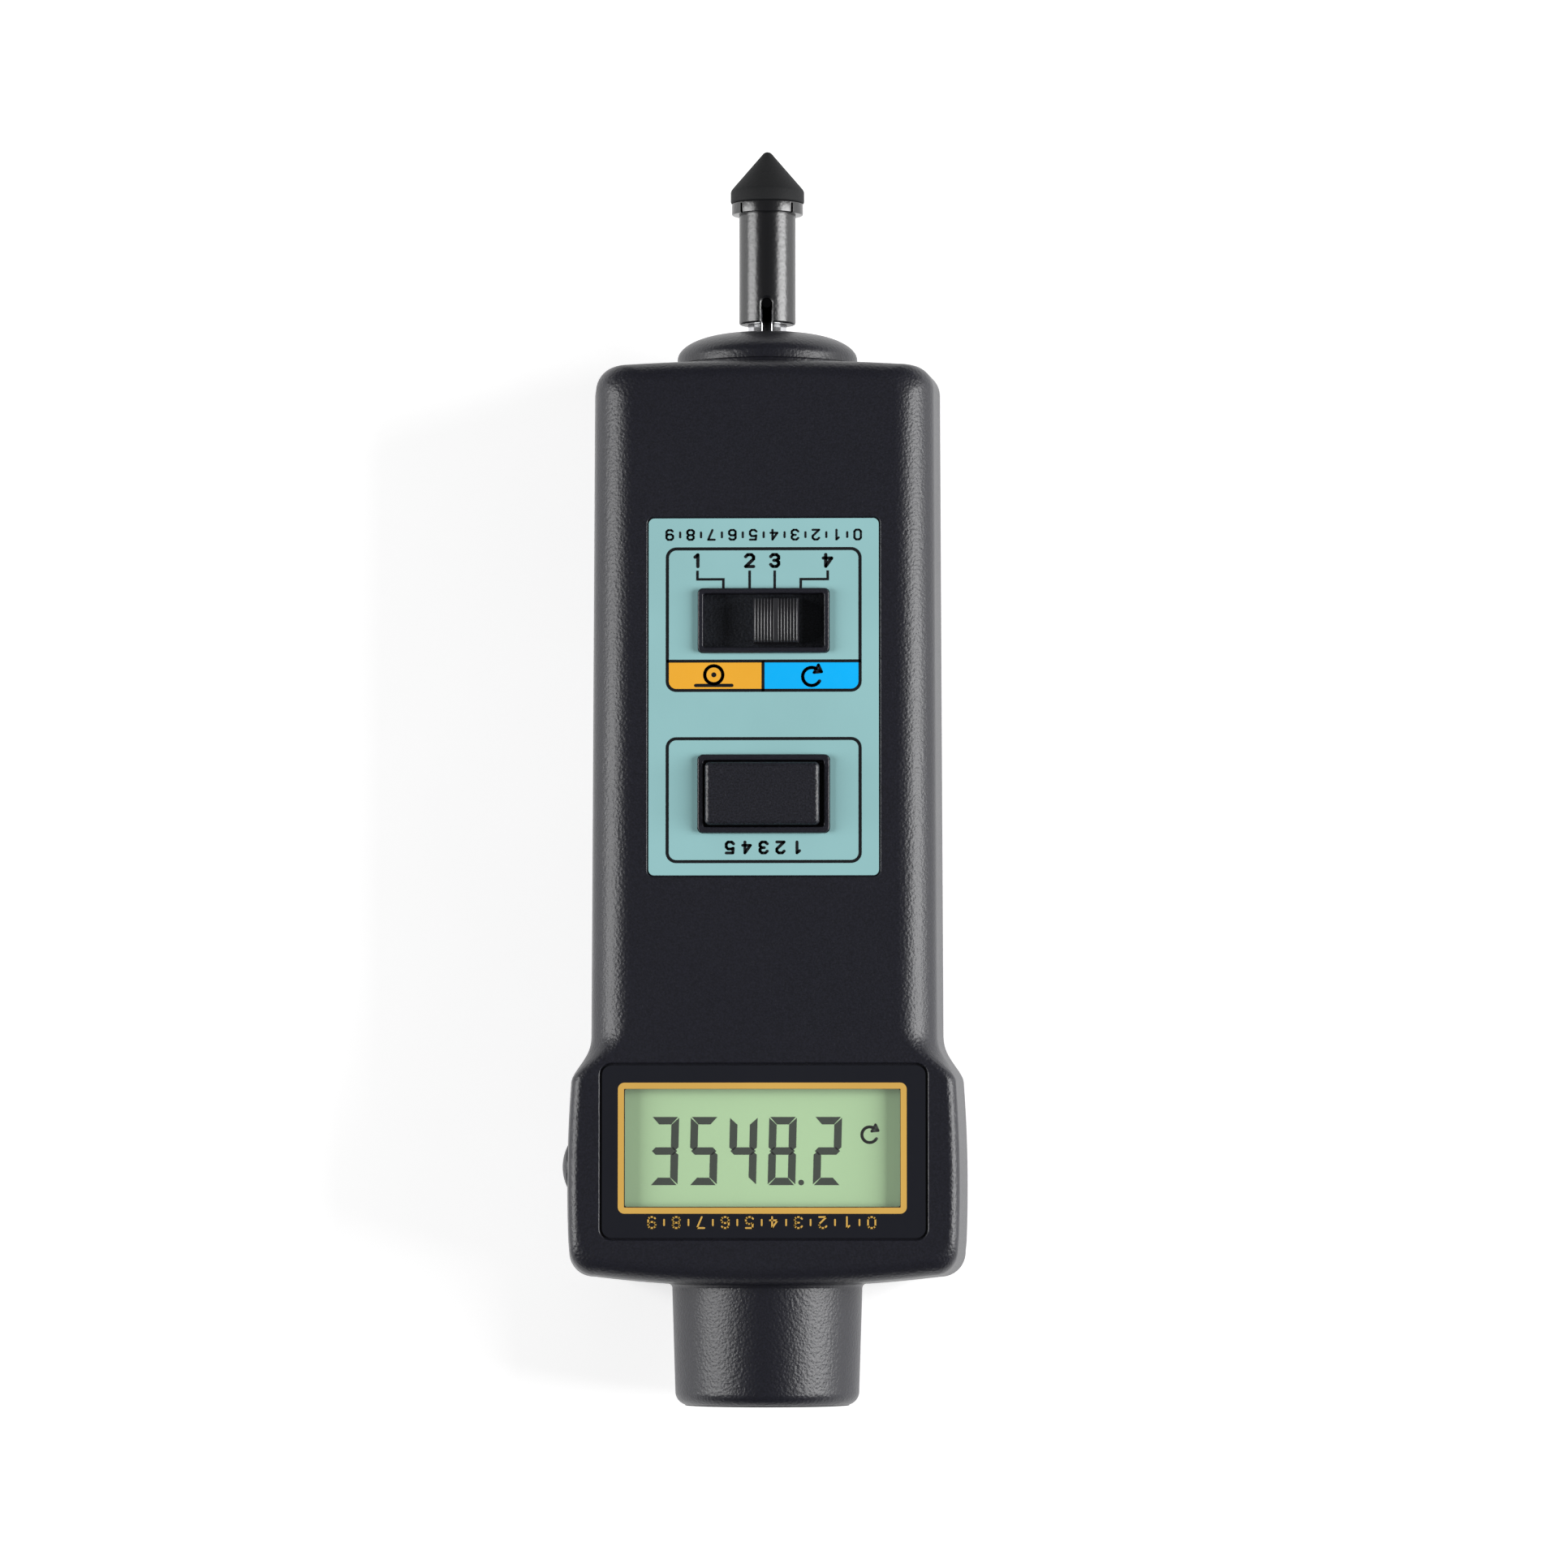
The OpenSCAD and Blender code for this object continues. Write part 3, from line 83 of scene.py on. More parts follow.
GOLD_ROW_X, GOLD_ROW_Y, GOLD_ROW_PITCH, GOLD_ROW_H, GOLD_ROW_LINE = -0.3, -64.2, 3.9, 1.75, 0.27
READING, DIGIT_X, DIGIT_Y0 = "3548.2", -18.25, -58.25
DIGIT_W, DIGIT_H, DIGIT_T, DIGIT_GAP, DIGIT_PITCH, DIGIT_EXTRA = 4.4, 10.9, 1.2, 0.16, 6.28, 0.95
DIGIT_LEAN = 0.024
POINT_R, POINT_X, POINT_Y = 0.45, 0.95, 0.42
UNIT_ICON, UNIT_ICON_R, UNIT_ICON_LINE = (16.9, -50.2), 1.25, 0.24

# Ends and back
HOUSING_R, NOSE_RING_R, NOSE_SEAT = 9.94, 14.75, 75.15
NOSE_R, NOSE_FACE, NOSE_HOLE, HOUSING_Y0 = 14.65, 80.3, 3.475, 56.4
DOME_W, DOME_H = 10.0, 4.2
HOOD_MOUTH_R, HOOD_BORE_R, HOOD_EDGE_R, HOOD_MOUTH_Y = 14.9, 12.6, 2.2, -93.8
HOOD_COLLAR_Y, HOOD_COLLAR_T, HOOD_COLLAR_R = -71.4, 1.5, 16.5
SHAFT_R, SLEEVE_R, FLANGE_R, CONE_R, SPIGOT_R = 3.175, 4.62, 5.82, 6.0, 3.03
SLEEVE_Y, FLANGE_Y, CONE_Y, CONE_TOP, CONE_TIP_R = 81.9, 99.9, 101.8, 110.33, 1.0
CONE_ANGLE, SPIGOT_LEN, SOCKET = math.radians(40.7), 3.6, 12.0
PIN_SLOT_W, PIN_SLOT_LEN, PIN_SLOT_EASE = 1.8, 4.0, 0.28
ADAPTER_BEVEL, CONE_EDGE_R, CONE_FIT = 0.4, 0.3, 0.05
NOTCH_W, NOTCH_DEPTH = 0.45, 0.7
SHUTTER_W, SHUTTER_H, SHUTTER_T = 32.2, 9.5, 0.3
HOOD_ROOT_R, HOOD_FLARE, HOOD_NECK_R, HOOD_SEAT = 15.4, 0.7, 14.5, 0.6 * WALL - END_Y
MEASURE_R, MEASURE_Y = 3.5, -55.3
BAY_WALL, CELL_D, CELL_GAP = 1.6, 14.5, 0.3
BAY_W, BAY_LEN, BAY_Y = 2 * CELL_D + 3 * CELL_GAP, 106.7, -4.0
BAY_Y0, BAY_Y1 = BAY_Y - BAY_LEN / 2, BAY_Y + BAY_LEN / 2
COVER_T, TONGUE, GROOVES, GROOVE_W, GROOVE_DEPTH = 2.0, 1.1, 6, 1.2, 0.6
RAIL_Z = COVER_T + 0.2
BAY_ROOF = RAIL_Z + 2 * CELL_GAP + CELL_D
COVER_W, COVER_Y0 = BAY_W + 2 * BAY_WALL, BAY_Y0 - BAY_WALL
SCREW_R, SCREW_HEAD_R, MOUTH_R = 1.4, 2.3, 0.35
SCREWS = [(s * x, y) for x, y in ((21.31, 66.2), (21.31, -27.2), (26.2, -67.4)) for s in (-1, 1)]

# Light and camera
FLOOR_GLOW, SKY = 0.53, 0.08
LIGHT_TILT, LIGHT_FAR = math.radians(63), 900.0
BOX_W, BOX_LEN = 520, 600
LEFT_WATTS, RIGHT_WATTS = 7.7, 11.0
CAMERA_AT, CAMERA_AIM, CAMERA_LENS = (37.6, -57.5, 1200.0), (2.7, 6.9, 19.0), 167.0


def lin(r, g, b):
    """Linear colour of an sRGB colour given from 0 to 255."""
    def one(c):
        c /= 255
        return c / 12.92 if c <= 0.04045 else ((c + 0.055) / 1.055) ** 2.4
    return (one(r), one(g), one(b), 1.0)


# Mesh helpers

def make(name, bm, material, body, smooth=35, bevel=0.0):
    """Object from a bmesh in millimetres, shaded smooth up to an angle, riding on a body."""
    bmesh.ops.scale(bm, vec=(MM, MM, MM), verts=bm.verts)
    mesh = bpy.data.meshes.new(name)
    bm.to_mesh(mesh)
    bm.free()
    obj = bpy.data.objects.new(name, mesh)
    bpy.context.scene.collection.objects.link(obj)
    if material:
        mesh.materials.append(material)
    if bevel:
        edge = obj.modifiers.new("edge", "BEVEL")
        edge.width = bevel * MM
        edge.segments = 3
        edge.limit_method = "ANGLE"
        edge.angle_limit = math.radians(40)
        edge.harden_normals = False
    shade(mesh, smooth)
    if body:
        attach(obj, body)
    return obj


def shade(mesh, angle):
    """Smooth faces, with edges sharper than the angle kept sharp."""
    bm = bmesh.new()
    bm.from_mesh(mesh)
    for face in bm.faces:
        face.smooth = True
    for edge in bm.edges:
        if len(edge.link_faces) == 2:
            edge.smooth = edge.calc_face_angle(0) < math.radians(angle)
    bm.to_mesh(mesh)
    bm.free()


def loft(rings, closed=True, into=None):
    """Skin through rings of points; each ring runs the same way and has the same count."""
    bm = into or bmesh.new()
    rows = [[bm.verts.new(p) for p in ring] for ring in rings]
    n = len(rows[0])
    for low, high in zip(rows, rows[1:]):
        for i in range(n):
            j = (i + 1) % n
            bm.faces.new((low[i], low[j], high[j], high[i]))
    if closed:
        for ring, points in ((rows[0], rings[0]), (rows[-1], rings[-1])):
            for tri in tessellate_polygon([[Vector(p) for p in points]]):
                corners = [ring[k] for k in tri]
                bm.faces.new(corners)
    bmesh.ops.recalc_face_normals(bm, faces=bm.faces)
    return bm


def arc(cx, cy, r, start, end, steps):
    """Points on an arc, angles in degrees."""
    span = [math.radians(start + (end - start) * i / steps) for i in range(steps + 1)]
    return [(cx + r * math.cos(a), cy + r * math.sin(a)) for a in span]


def round_rect(w, h, r, steps=8):
    """Outline of a rectangle with round corners, centred, anticlockwise."""
    corners = ((1, 1, 0), (-1, 1, 90), (-1, -1, 180), (1, -1, 270))
    return [p for sx, sy, a in corners
            for p in arc(sx * (w / 2 - r), sy * (h / 2 - r), r, a, a + 90, steps)]


def at(outline, z, x=0.0, y=0.0):
    return [(px + x, py + y, z) for px, py in outline]


def plate(w, h, r, z0, z1, x=0.0, y=0.0, flare=0.0, ease=0.0, steps=8):
    """Rounded plate. flare widens its top like a countersink's round; ease rounds its top edge over."""
    rings = [at(round_rect(w, h, r, steps), z0, x, y)]
    turn = [math.radians(90 * i / 5) for i in range(6)]
    if flare or ease:
        size, way = (flare, 1) if flare else (ease, -1)
        for a in turn:
            grow = way * size * (1 - math.cos(a))
            rings.append(at(round_rect(w + 2 * grow, h + 2 * grow, max(r + grow, 0.05), steps),
                            z1 - size + size * math.sin(a), x, y))
    else:
        rings.append(at(round_rect(w, h, r, steps), z1, x, y))
    if flare:
        rings.append([(px, py, pz + 1) for px, py, pz in rings[-1]])
    return loft(rings)


def slab(w, h, z0, z1, x=0.0, y=0.0):
    return loft([at([(w / 2, h / 2), (-w / 2, h / 2), (-w / 2, -h / 2), (w / 2, -h / 2)], z, x, y)
                 for z in (z0, z1)])


def rod(r, start, end, centre, axis="Z", steps=96):
    """Cylinder along an axis between two positions on it; centre gives the other two coordinates."""
    def place(u, v, w):
        return {"X": (w, u, v), "Y": (u, w, v), "Z": (u, v, w)}[axis]
    ring = arc(centre[0], centre[1], r, 0, 360 - 360 / steps, steps - 1)
    return loft([[place(u, v, w) for u, v in ring] for w in (start, end)])


def turned(profile, steps=128, x=0.0, z=AXIS_Z):
    """Closed solid turned about an axis parallel to Y, from a closed profile of (radius, y)."""
    bm = bmesh.new()
    rows = []
    for r, y in profile:
        if r < 1e-6:
            rows.append([bm.verts.new((x, y, z))])
        else:
            rows.append([bm.verts.new((x + r * math.cos(a), y, z + r * math.sin(a)))
                         for a in (2 * math.pi * i / steps for i in range(steps))])
    for low, high in zip(rows, rows[1:] + rows[:1]):
        for i in range(steps):
            j = (i + 1) % steps
            if len(low) == 1 and len(high) == 1:
                continue
            if len(low) == 1:
                bm.faces.new((low[0], high[j], high[i]))
            elif len(high) == 1:
                bm.faces.new((low[i], low[j], high[0]))
            else:
                bm.faces.new((low[i], low[j], high[j], high[i]))
    bmesh.ops.recalc_face_normals(bm, faces=bm.faces)
    return bm


def blank(bm):
    """Unseen helper object from a bmesh in millimetres."""
    return make("helper", bm, None, None)


def combine(base, others, operation):
    """Boolean of an object with a list of bmeshes, applied."""
    for bm in others:
        tool = blank(bm)
        step = base.modifiers.new("step", "BOOLEAN")
        step.object = tool
        step.operation = operation
        step.solver = "MANIFOLD"
        graph = bpy.context.evaluated_depsgraph_get()
        mesh = bpy.data.meshes.new_from_object(base.evaluated_get(graph))
        base.modifiers.clear()
        old, base.data = base.data, mesh
        bpy.data.meshes.remove(old)
        bpy.data.objects.remove(tool)
    return base


def finished(obj, name, material, body, smooth=35):
    """Gives a combined object its name, material, shading and body."""
    obj.name = name
    obj.data.name = name
    obj.data.materials.clear()
    obj.data.materials.append(material)
    shade(obj.data, smooth)
    even = obj.modifiers.new("even", "WEIGHTED_NORMAL")
    even.keep_sharp = True
    even.weight = 100
    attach(obj, body)
    return obj


# Case outline, the same rule as the construction's

def smooth_step(s):
    return s * s * (3 - 2 * s)


def edge_inset(u, r, d):
    ri = max(r - d, 0.1)
    h = u - (PART_Z - d - ri)
    return 0.0 if h <= 0 else ri - math.sqrt(max(ri * ri - h * h, 0))


def half_outline(u, d, side_r, head_r, fine=3):
    """Right half of the case outline at height u from the parting plane, d inside the skin."""
    lean = d + u * math.tan(SIDE_DRAFT)
    side_in = lean + edge_inset(u, side_r, d)
    head_in = lean + edge_inset(u, head_r, d)
    end_in = d + u * math.tan(END_DRAFT) + edge_inset(u, END_EDGE_R, d)
    y_top, y_low = END_Y - end_in, end_in - END_Y
    w_top, w_waist, w_head = GRIP_W / 2 - side_in, WAIST_W / 2 - side_in, HEAD_W / 2 - head_in
    r = max(CORNER_R - d, 0.6)
    x_top = w_top - r
    y_turn = y_top - GRIP_END_CROWN * (x_top / w_top) ** 2 - r
    y_full = HEAD_LEN - END_Y
    y_start = y_full + SHOULDER_LEN + SHOULDER_LIFT * (side_in - lean) / side_r
    y_mid = (y_full - END_Y) / 2

    def bulge(y):
        return w_head - HEAD_BARREL * ((y - y_mid) / (y_full - y_mid)) ** 2

    x_low = bulge(y_low + r) - r
    y_low_turn = y_low + HEAD_END_CROWN * (x_low / w_head) ** 2 + r
    points = [(x_top * i / (5 * fine), y_top - GRIP_END_CROWN * (x_top * i / (5 * fine) / w_top) ** 2)
              for i in range(5 * fine)]
    points += arc(x_top, y_turn, r, 90, 0, 6 * fine)
    points += [(w_top + (w_waist - w_top) * i / (4 * fine), y_turn + (y_start - y_turn) * i / (4 * fine))
               for i in range(1, 4 * fine)]
    for i in range(10 * fine):
        s = i / (10 * fine)
        k = smooth_step(s ** SHOULDER_BIAS)
        points.append((w_waist + (bulge(y_full) - w_waist) * k, y_start + (y_full - y_start) * s))
    for i in range(5 * fine):
        y = y_full + (y_low_turn - y_full) * i / (5 * fine)
        points.append((bulge(y), y))
    points += arc(x_low, y_low_turn, r, 0, -90, 6 * fine)
    points += [(x, y_low + HEAD_END_CROWN * (x / w_head) ** 2)
               for x in (x_low * (1 - i / (6 * fine)) for i in range(1, 6 * fine))]
    return points + [(0.0, y_low)]


def case_ring(u, d, up, side_r, head_r, pull=0.0, fine=3):
    """Whole outline at height u above (up 1) or below (up -1) the parting plane."""
    half = half_outline(abs(u), d + pull, side_r, head_r, fine)
    z = PART_Z + up * u
    return [(x, y, z) for x, y in half] + [(-x, y, z) for x, y in half[-2:0:-1]]


def case_block(up, d, side_r, head_r, levels=16, fine=3, seam=0.0, base=0.0):
    """Solid inside the skin of one case half, or d inside it, with a small round at the parting edge."""
    r = max(side_r - d, 0.1)
    top = PART_Z - d
    rings = []
    if seam:
        for i in range(4):
            a = math.radians(90 * i / 4)
            pull = seam * (1 - math.sin(a))
            rings.append(case_ring(seam * (1 - math.cos(a)), d, up, side_r, head_r, pull, fine))
    first = seam or base
    rings.append(case_ring(first, d, up, side_r, head_r, 0, fine))
    rings.append(case_ring((first + top - r) / 2, d, up, side_r, head_r, 0, fine))
    for i in range(levels + 1):
        a = math.radians(90 * i / levels)
        rings.append(case_ring(top - r + r * math.sin(a), d, up, side_r, head_r, 0, fine))
    return loft(rings)


# Materials

def nodes_of(name):
    mat = bpy.data.materials.new(name)
    mat.use_nodes = True
    tree = mat.node_tree
    return mat, tree.nodes, tree.links, tree.nodes["Principled BSDF"]


def texture(nodes, links, kind, scale, **values):
    """Procedural texture on object coordinates, so that it stays with its piece."""
    place = nodes.get("Texture Coordinate") or nodes.new("ShaderNodeTexCoord")
    tex = nodes.new(kind)
    links.new(place.outputs["Object"], tex.inputs["Vector"])
    tex.inputs["Scale"].default_value = scale
    for key, value in values.items():
        tex.inputs[key].default_value = value
    return tex


def ramp(nodes, links, source, stops):
    """Colour ramp fed by a value; stops are (position, colour)."""
    node = nodes.new("ShaderNodeValToRGB")
    links.new(source, node.inputs["Fac"])
    elements = node.color_ramp.elements
    while len(elements) < len(stops):
        elements.new(0.5)
    for element, (position, colour) in zip(elements, stops):
        element.position = position
        element.color = colour
    return node.outputs["Color"]


def shift(colour, factor):
    return tuple(c * factor for c in colour[:3]) + (1.0,)


def span(nodes, links, source, low, high):
    """Maps a 0 to 1 value to a range."""
    node = nodes.new("ShaderNodeMapRange")
    links.new(source, node.inputs["Value"])
    node.inputs["To Min"].default_value = low
    node.inputs["To Max"].default_value = high
    return node.outputs["Result"]


def maths(nodes, links, operation, first, second):
    """Math node on two sockets, or on a socket and a number; its result is clamped."""
    node = nodes.new("ShaderNodeMath")
    node.operation = operation
    node.use_clamp = True
    links.new(first, node.inputs[0])
    if isinstance(second, float):
        node.inputs[1].default_value = second
    else:
        links.new(second, node.inputs[1])
    return node.outputs[0]


def bump(nodes, links, height, depth_mm, normal=None):
    node = nodes.new("ShaderNodeBump")
    node.inputs["Strength"].default_value = 1.0
    node.inputs["Distance"].default_value = depth_mm * MM
    links.new(height, node.inputs["Height"])
    if normal:
        links.new(normal, node.inputs["Normal"])
    return node.outputs["Normal"]


def moulded(name, colour, rough, grain=2600.0, depth=0.02, wander=0.12, specular=0.5,
            rough_span=0.06, speckle=0.0):
    """Moulded plastic with leather-like cells of fine grain and a little unevenness in gloss. Its colour
    varies by speckle from grain to grain or, without one, by wander over wide patches."""
    mat, nodes, links, shader = nodes_of(name)
    cells = texture(nodes, links, "ShaderNodeTexVoronoi", grain)
    cells.feature = "SMOOTH_F1"
    fine = texture(nodes, links, "ShaderNodeTexNoise", grain * 1.7, Detail=3.0)
    broad = texture(nodes, links, "ShaderNodeTexNoise", 60.0, Detail=4.0)
    mottle, change = (fine, speckle) if speckle else (broad, wander)
    links.new(ramp(nodes, links, mottle.outputs["Fac"],
                   [(0.35, shift(colour, 1 - change)), (0.65, shift(colour, 1 + change))]),
              shader.inputs["Base Color"])
    links.new(span(nodes, links, broad.outputs["Fac"], rough - rough_span, rough + rough_span),
              shader.inputs["Roughness"])
    first = bump(nodes, links, cells.outputs["Distance"], depth)
    links.new(bump(nodes, links, fine.outputs["Fac"], depth * 0.5, first), shader.inputs["Normal"])
    shader.inputs["Specular IOR Level"].default_value = specular
    return mat


def printed(name, colour, rough, wander=0.04, depth=0.002, specular=0.4):
    """Printed film or ink: almost even colour, faint mottling."""
    mat, nodes, links, shader = nodes_of(name)
    mottle = texture(nodes, links, "ShaderNodeTexNoise", 900.0, Detail=5.0)
    broad = texture(nodes, links, "ShaderNodeTexNoise", 45.0, Detail=3.0)
    links.new(ramp(nodes, links, broad.outputs["Fac"],
                   [(0.3, shift(colour, 1 - wander)), (0.7, shift(colour, 1 + wander))]),
              shader.inputs["Base Color"])
    links.new(span(nodes, links, mottle.outputs["Fac"], rough - 0.05, rough + 0.05),
              shader.inputs["Roughness"])
    links.new(bump(nodes, links, mottle.outputs["Fac"], depth), shader.inputs["Normal"])
    shader.inputs["Specular IOR Level"].default_value = specular
    return mat


def metal(name, colour, rough, along=(1, 60, 1), depth=0.002):
    """Ground metal with fine marks; along stretches the marks."""
    mat, nodes, links, shader = nodes_of(name)
    place = nodes.new("ShaderNodeTexCoord")
    stretch = nodes.new("ShaderNodeMapping")
    stretch.inputs["Scale"].default_value = along
    links.new(place.outputs["Object"], stretch.inputs["Vector"])
    marks = nodes.new("ShaderNodeTexNoise")
    marks.inputs["Scale"].default_value = 300.0
    marks.inputs["Detail"].default_value = 4.0
    links.new(stretch.outputs["Vector"], marks.inputs["Vector"])
    links.new(ramp(nodes, links, marks.outputs["Fac"], [(0.3, shift(colour, 0.88)), (0.7, colour)]),
              shader.inputs["Base Color"])
    links.new(span(nodes, links, marks.outputs["Fac"], rough * 0.75, rough * 1.3),
              shader.inputs["Roughness"])
    links.new(bump(nodes, links, marks.outputs["Fac"], depth), shader.inputs["Normal"])
    shader.inputs["Metallic"].default_value = 1.0
    return mat


def shaded_shaft():
    """Ground steel whose end, inside the adapter's socket, is painted dark as shade."""
    mat = metal("shaft steel", (0.62, 0.62, 0.64, 1), 0.2)
    nodes, links = mat.node_tree.nodes, mat.node_tree.links
    shader = nodes["Principled BSDF"]
    split = nodes.new("ShaderNodeSeparateXYZ")
    links.new(nodes["Texture Coordinate"].outputs["Object"], split.inputs["Vector"])
    place = nodes.new("ShaderNodeMapRange")
    links.new(split.outputs["Y"], place.inputs["Value"])
    place.inputs["From Min"].default_value = (SLEEVE_Y - 0.1) * MM
    place.inputs["From Max"].default_value = (SLEEVE_Y + 0.3) * MM
    # painted shade: the steel turns near black past the sleeve's foot, where the socket hides it
    painted_shade = nodes.new("ShaderNodeMix")
    painted_shade.data_type = "RGBA"
    links.new(place.outputs["Result"], painted_shade.inputs[0])
    links.new(shader.inputs["Base Color"].links[0].from_socket, painted_shade.inputs[6])
    painted_shade.inputs[7].default_value = (0.03, 0.03, 0.034, 1)
    links.new(painted_shade.outputs[2], shader.inputs["Base Color"])
    return mat


def clear(name, tint, rough=0.02):
    """Clear sheet: lets light and shadow rays through and reflects by Fresnel."""
    mat, nodes, links, shader = nodes_of(name)
    shader.inputs["Base Color"].default_value = tint
    haze = texture(nodes, links, "ShaderNodeTexNoise", 120.0, Detail=3.0)
    links.new(span(nodes, links, haze.outputs["Fac"], rough, rough + 0.03), shader.inputs["Roughness"])
    through = nodes.new("ShaderNodeBsdfTransparent")
    through.inputs["Color"].default_value = tint
    rim = nodes.new("ShaderNodeFresnel")
    rim.inputs["IOR"].default_value = 1.45
    side = nodes.new("ShaderNodeNewGeometry")
    outside = maths(nodes, links, "SUBTRACT", rim.outputs["Fac"], side.outputs["Backfacing"])
    mix = nodes.new("ShaderNodeMixShader")
    links.new(outside, mix.inputs["Fac"])
    links.new(through.outputs["BSDF"], mix.inputs[1])
    links.new(shader.outputs["BSDF"], mix.inputs[2])
    links.new(mix.outputs["Shader"], nodes["Material Output"].inputs["Surface"])
    return mat


CASE = moulded("case plastic", (0.0098, 0.0100, 0.0160, 1), 0.38,
               grain=2300.0, depth=0.06, rough_span=0.02, speckle=0.3)
NOSE = moulded("nose plastic", (0.0098, 0.0100, 0.0158, 1), 0.38,
               grain=2300.0, depth=0.045, rough_span=0.02, speckle=0.3)
KEY = moulded("key plastic", (0.0128, 0.0131, 0.0188, 1), 0.36,
              grain=2400.0, depth=0.08, rough_span=0.02, speckle=0.6)
DARK = moulded("switch plastic", (0.018, 0.021, 0.029, 1), 0.5,
               grain=2400.0, depth=0.07, speckle=0.6)
KNOB = moulded("knob plastic", (0.024, 0.024, 0.028, 1), 0.3,
               grain=3600.0, depth=0.01, specular=0.9)
ADAPTER = moulded("adapter plastic", (0.008, 0.0082, 0.0095, 1), 0.27, grain=1700.0, depth=0.02,
                  specular=0.8, rough_span=0.02)
RUBBER = moulded("tip rubber", (0.0155, 0.016, 0.017, 1), 0.72,
                 grain=3000.0, depth=0.03, specular=0.2)
PLUNGER = moulded("plunger plastic", (0.45, 0.33, 0.15, 1), 0.45)
WHITE = moulded("white plastic", (0.72, 0.72, 0.69, 1), 0.5, wander=0.03)
LABEL = printed("label film", lin(150, 196, 198), 0.42)
INK = printed("black ink", lin(18, 20, 24), 0.4)
AMBER = printed("amber ink", lin(243, 176, 52), 0.42)
BLUE = printed("blue ink", lin(0, 183, 255), 0.42)
GOLD = printed("gold ink", lin(214, 170, 84), 0.4, wander=0.06)
PANEL = printed("panel film", (0.0125, 0.0132, 0.0182, 1), 0.22, depth=0.001, specular=0.5)
LCD = printed("display green", lin(184, 217, 170), 0.5, wander=0.015, specular=0.3)
SEGMENT = printed("display segments", lin(56, 64, 56), 0.5, specular=0.3)
CLEAR = clear("clear panel", (1, 1, 1, 1))
LENS = clear("lens glass", (0.9, 0.94, 0.97, 1))
LAMP = clear("lamp glass", (0.97, 0.96, 0.92, 1))
BOARD = printed("circuit board", (0.02, 0.13, 0.05, 1), 0.35, wander=0.1)
STEEL = metal("ground steel", (0.62, 0.62, 0.64, 1), 0.2)
SHAFT = shaded_shaft()
SCREW = metal("plated screw", (0.6, 0.6, 0.62, 1), 0.32, along=(1, 1, 1))
SPRING = metal("nickel spring", (0.62, 0.61, 0.58, 1), 0.28, along=(1, 1, 1))
BRASS = metal("turned brass", (0.6, 0.45, 0.2, 1), 0.3)
CELL = printed("cell wrap", (0.03, 0.07, 0.06, 1), 0.3, wander=0.06, specular=0.5)

NODE_MATERIALS = {node: material for material, nodes in (
    (LABEL, "label_plate"),
    (PANEL, "display_window"),
    (LCD, "lcd_glass"),
    (WHITE, "lcd_frame"),
    (DARK, "zebra_strips board_chips slide_switch_body memory_switch measure_switch "
           "slot_sensor lens_tube lens_ring encoder_disc"),
    (BOARD, "main_board pickup_board optics_board"),
    (SCREW, "case_screws board_screws"),
    (NOSE, "nose_housing"),
    (STEEL, "front_bearing rear_bearing light_sensor"),
    (BRASS, "bearing_spacer lamp_holder"),
    (CASE, "light_hood battery_cover front_case rear_case"),
    (LENS, "lens"),
    (LAMP, "lamp"),
    (CELL, "battery_cells"),
    (SPRING, "battery_springs battery_plates retaining_ring"),
    (KNOB, "switch_knob"),
    (KEY, "memory_button measure_button"),
    (PLUNGER, "memory_plunger measure_plunger"),
    (SHAFT, "contact_shaft drive_pin"),
    (ADAPTER, "adapter_sleeve"),
    (RUBBER, "rubber_cone")) for node in nodes.split()}


def dress_nodes():
    """Every carried-over node gets its material and welded vertices."""
    for name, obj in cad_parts.items():
        obj.data.materials.clear()
        obj.data.materials.append(NODE_MATERIALS[name])
        weld = obj.modifiers.new("weld", "WELD")
        weld.merge_threshold = 0.002 * MM


# Case halves

def front_case():
    body = blank(case_block(1, 0.0, GRIP_EDGE_R, HEAD_EDGE_R, seam=SEAM))
    inside = case_block(1, WALL, GRIP_EDGE_R, HEAD_EDGE_R, levels=5, fine=1, base=-0.5)
    combine(body, [inside], "DIFFERENCE")
    label = plate(LABEL_W + 0.4, LABEL_LEN + 0.4, LABEL_R + 0.1, CASE_T - LABEL_T, CASE_T,
                  y=LABEL_Y, flare=0.22)
    display = plate(WINDOW_W + 2 * WINDOW_GAP, WINDOW_H + 2 * WINDOW_GAP, WINDOW_R + WINDOW_GAP,
                    CASE_T - WINDOW_T - 0.1, CASE_T, y=WINDOW_Y, flare=0.25)
    combine(body, [label, display], "DIFFERENCE")
    rim_z = CASE_T + BEZEL_RISE
    combine(body, [
        plate(SWITCH_W, SWITCH_H, SWITCH_RIM, FACE_IN, rim_z, y=SWITCH_Y, ease=0.22),
        plate(KEY_FRAME_W, KEY_FRAME_H, KEY_RIM, FACE_IN, rim_z, y=KEY_Y, ease=0.22)], "UNION")
    combine(body, [
        plate(SWITCH_W - 2 * SWITCH_RIM, SWITCH_H - 2 * SWITCH_RIM, 0.35, FACE_IN - 1, rim_z,
              y=SWITCH_Y, flare=0.18),
        plate(KEY_FRAME_W - 2 * KEY_RIM, KEY_FRAME_H - 2 * KEY_RIM, 0.35, FACE_IN - 1, rim_z,
              y=KEY_Y, flare=0.18),
        slab(VIEW_W + 1, VIEW_H + 0.6, FACE_IN - 1, CASE_T, VIEW_X, VIEW_Y)], "DIFFERENCE")
    combine(body, [half_ring(1)], "UNION")
    combine(body, end_holes(), "DIFFERENCE")
    return finished(body, "front_shell", CASE, "case")


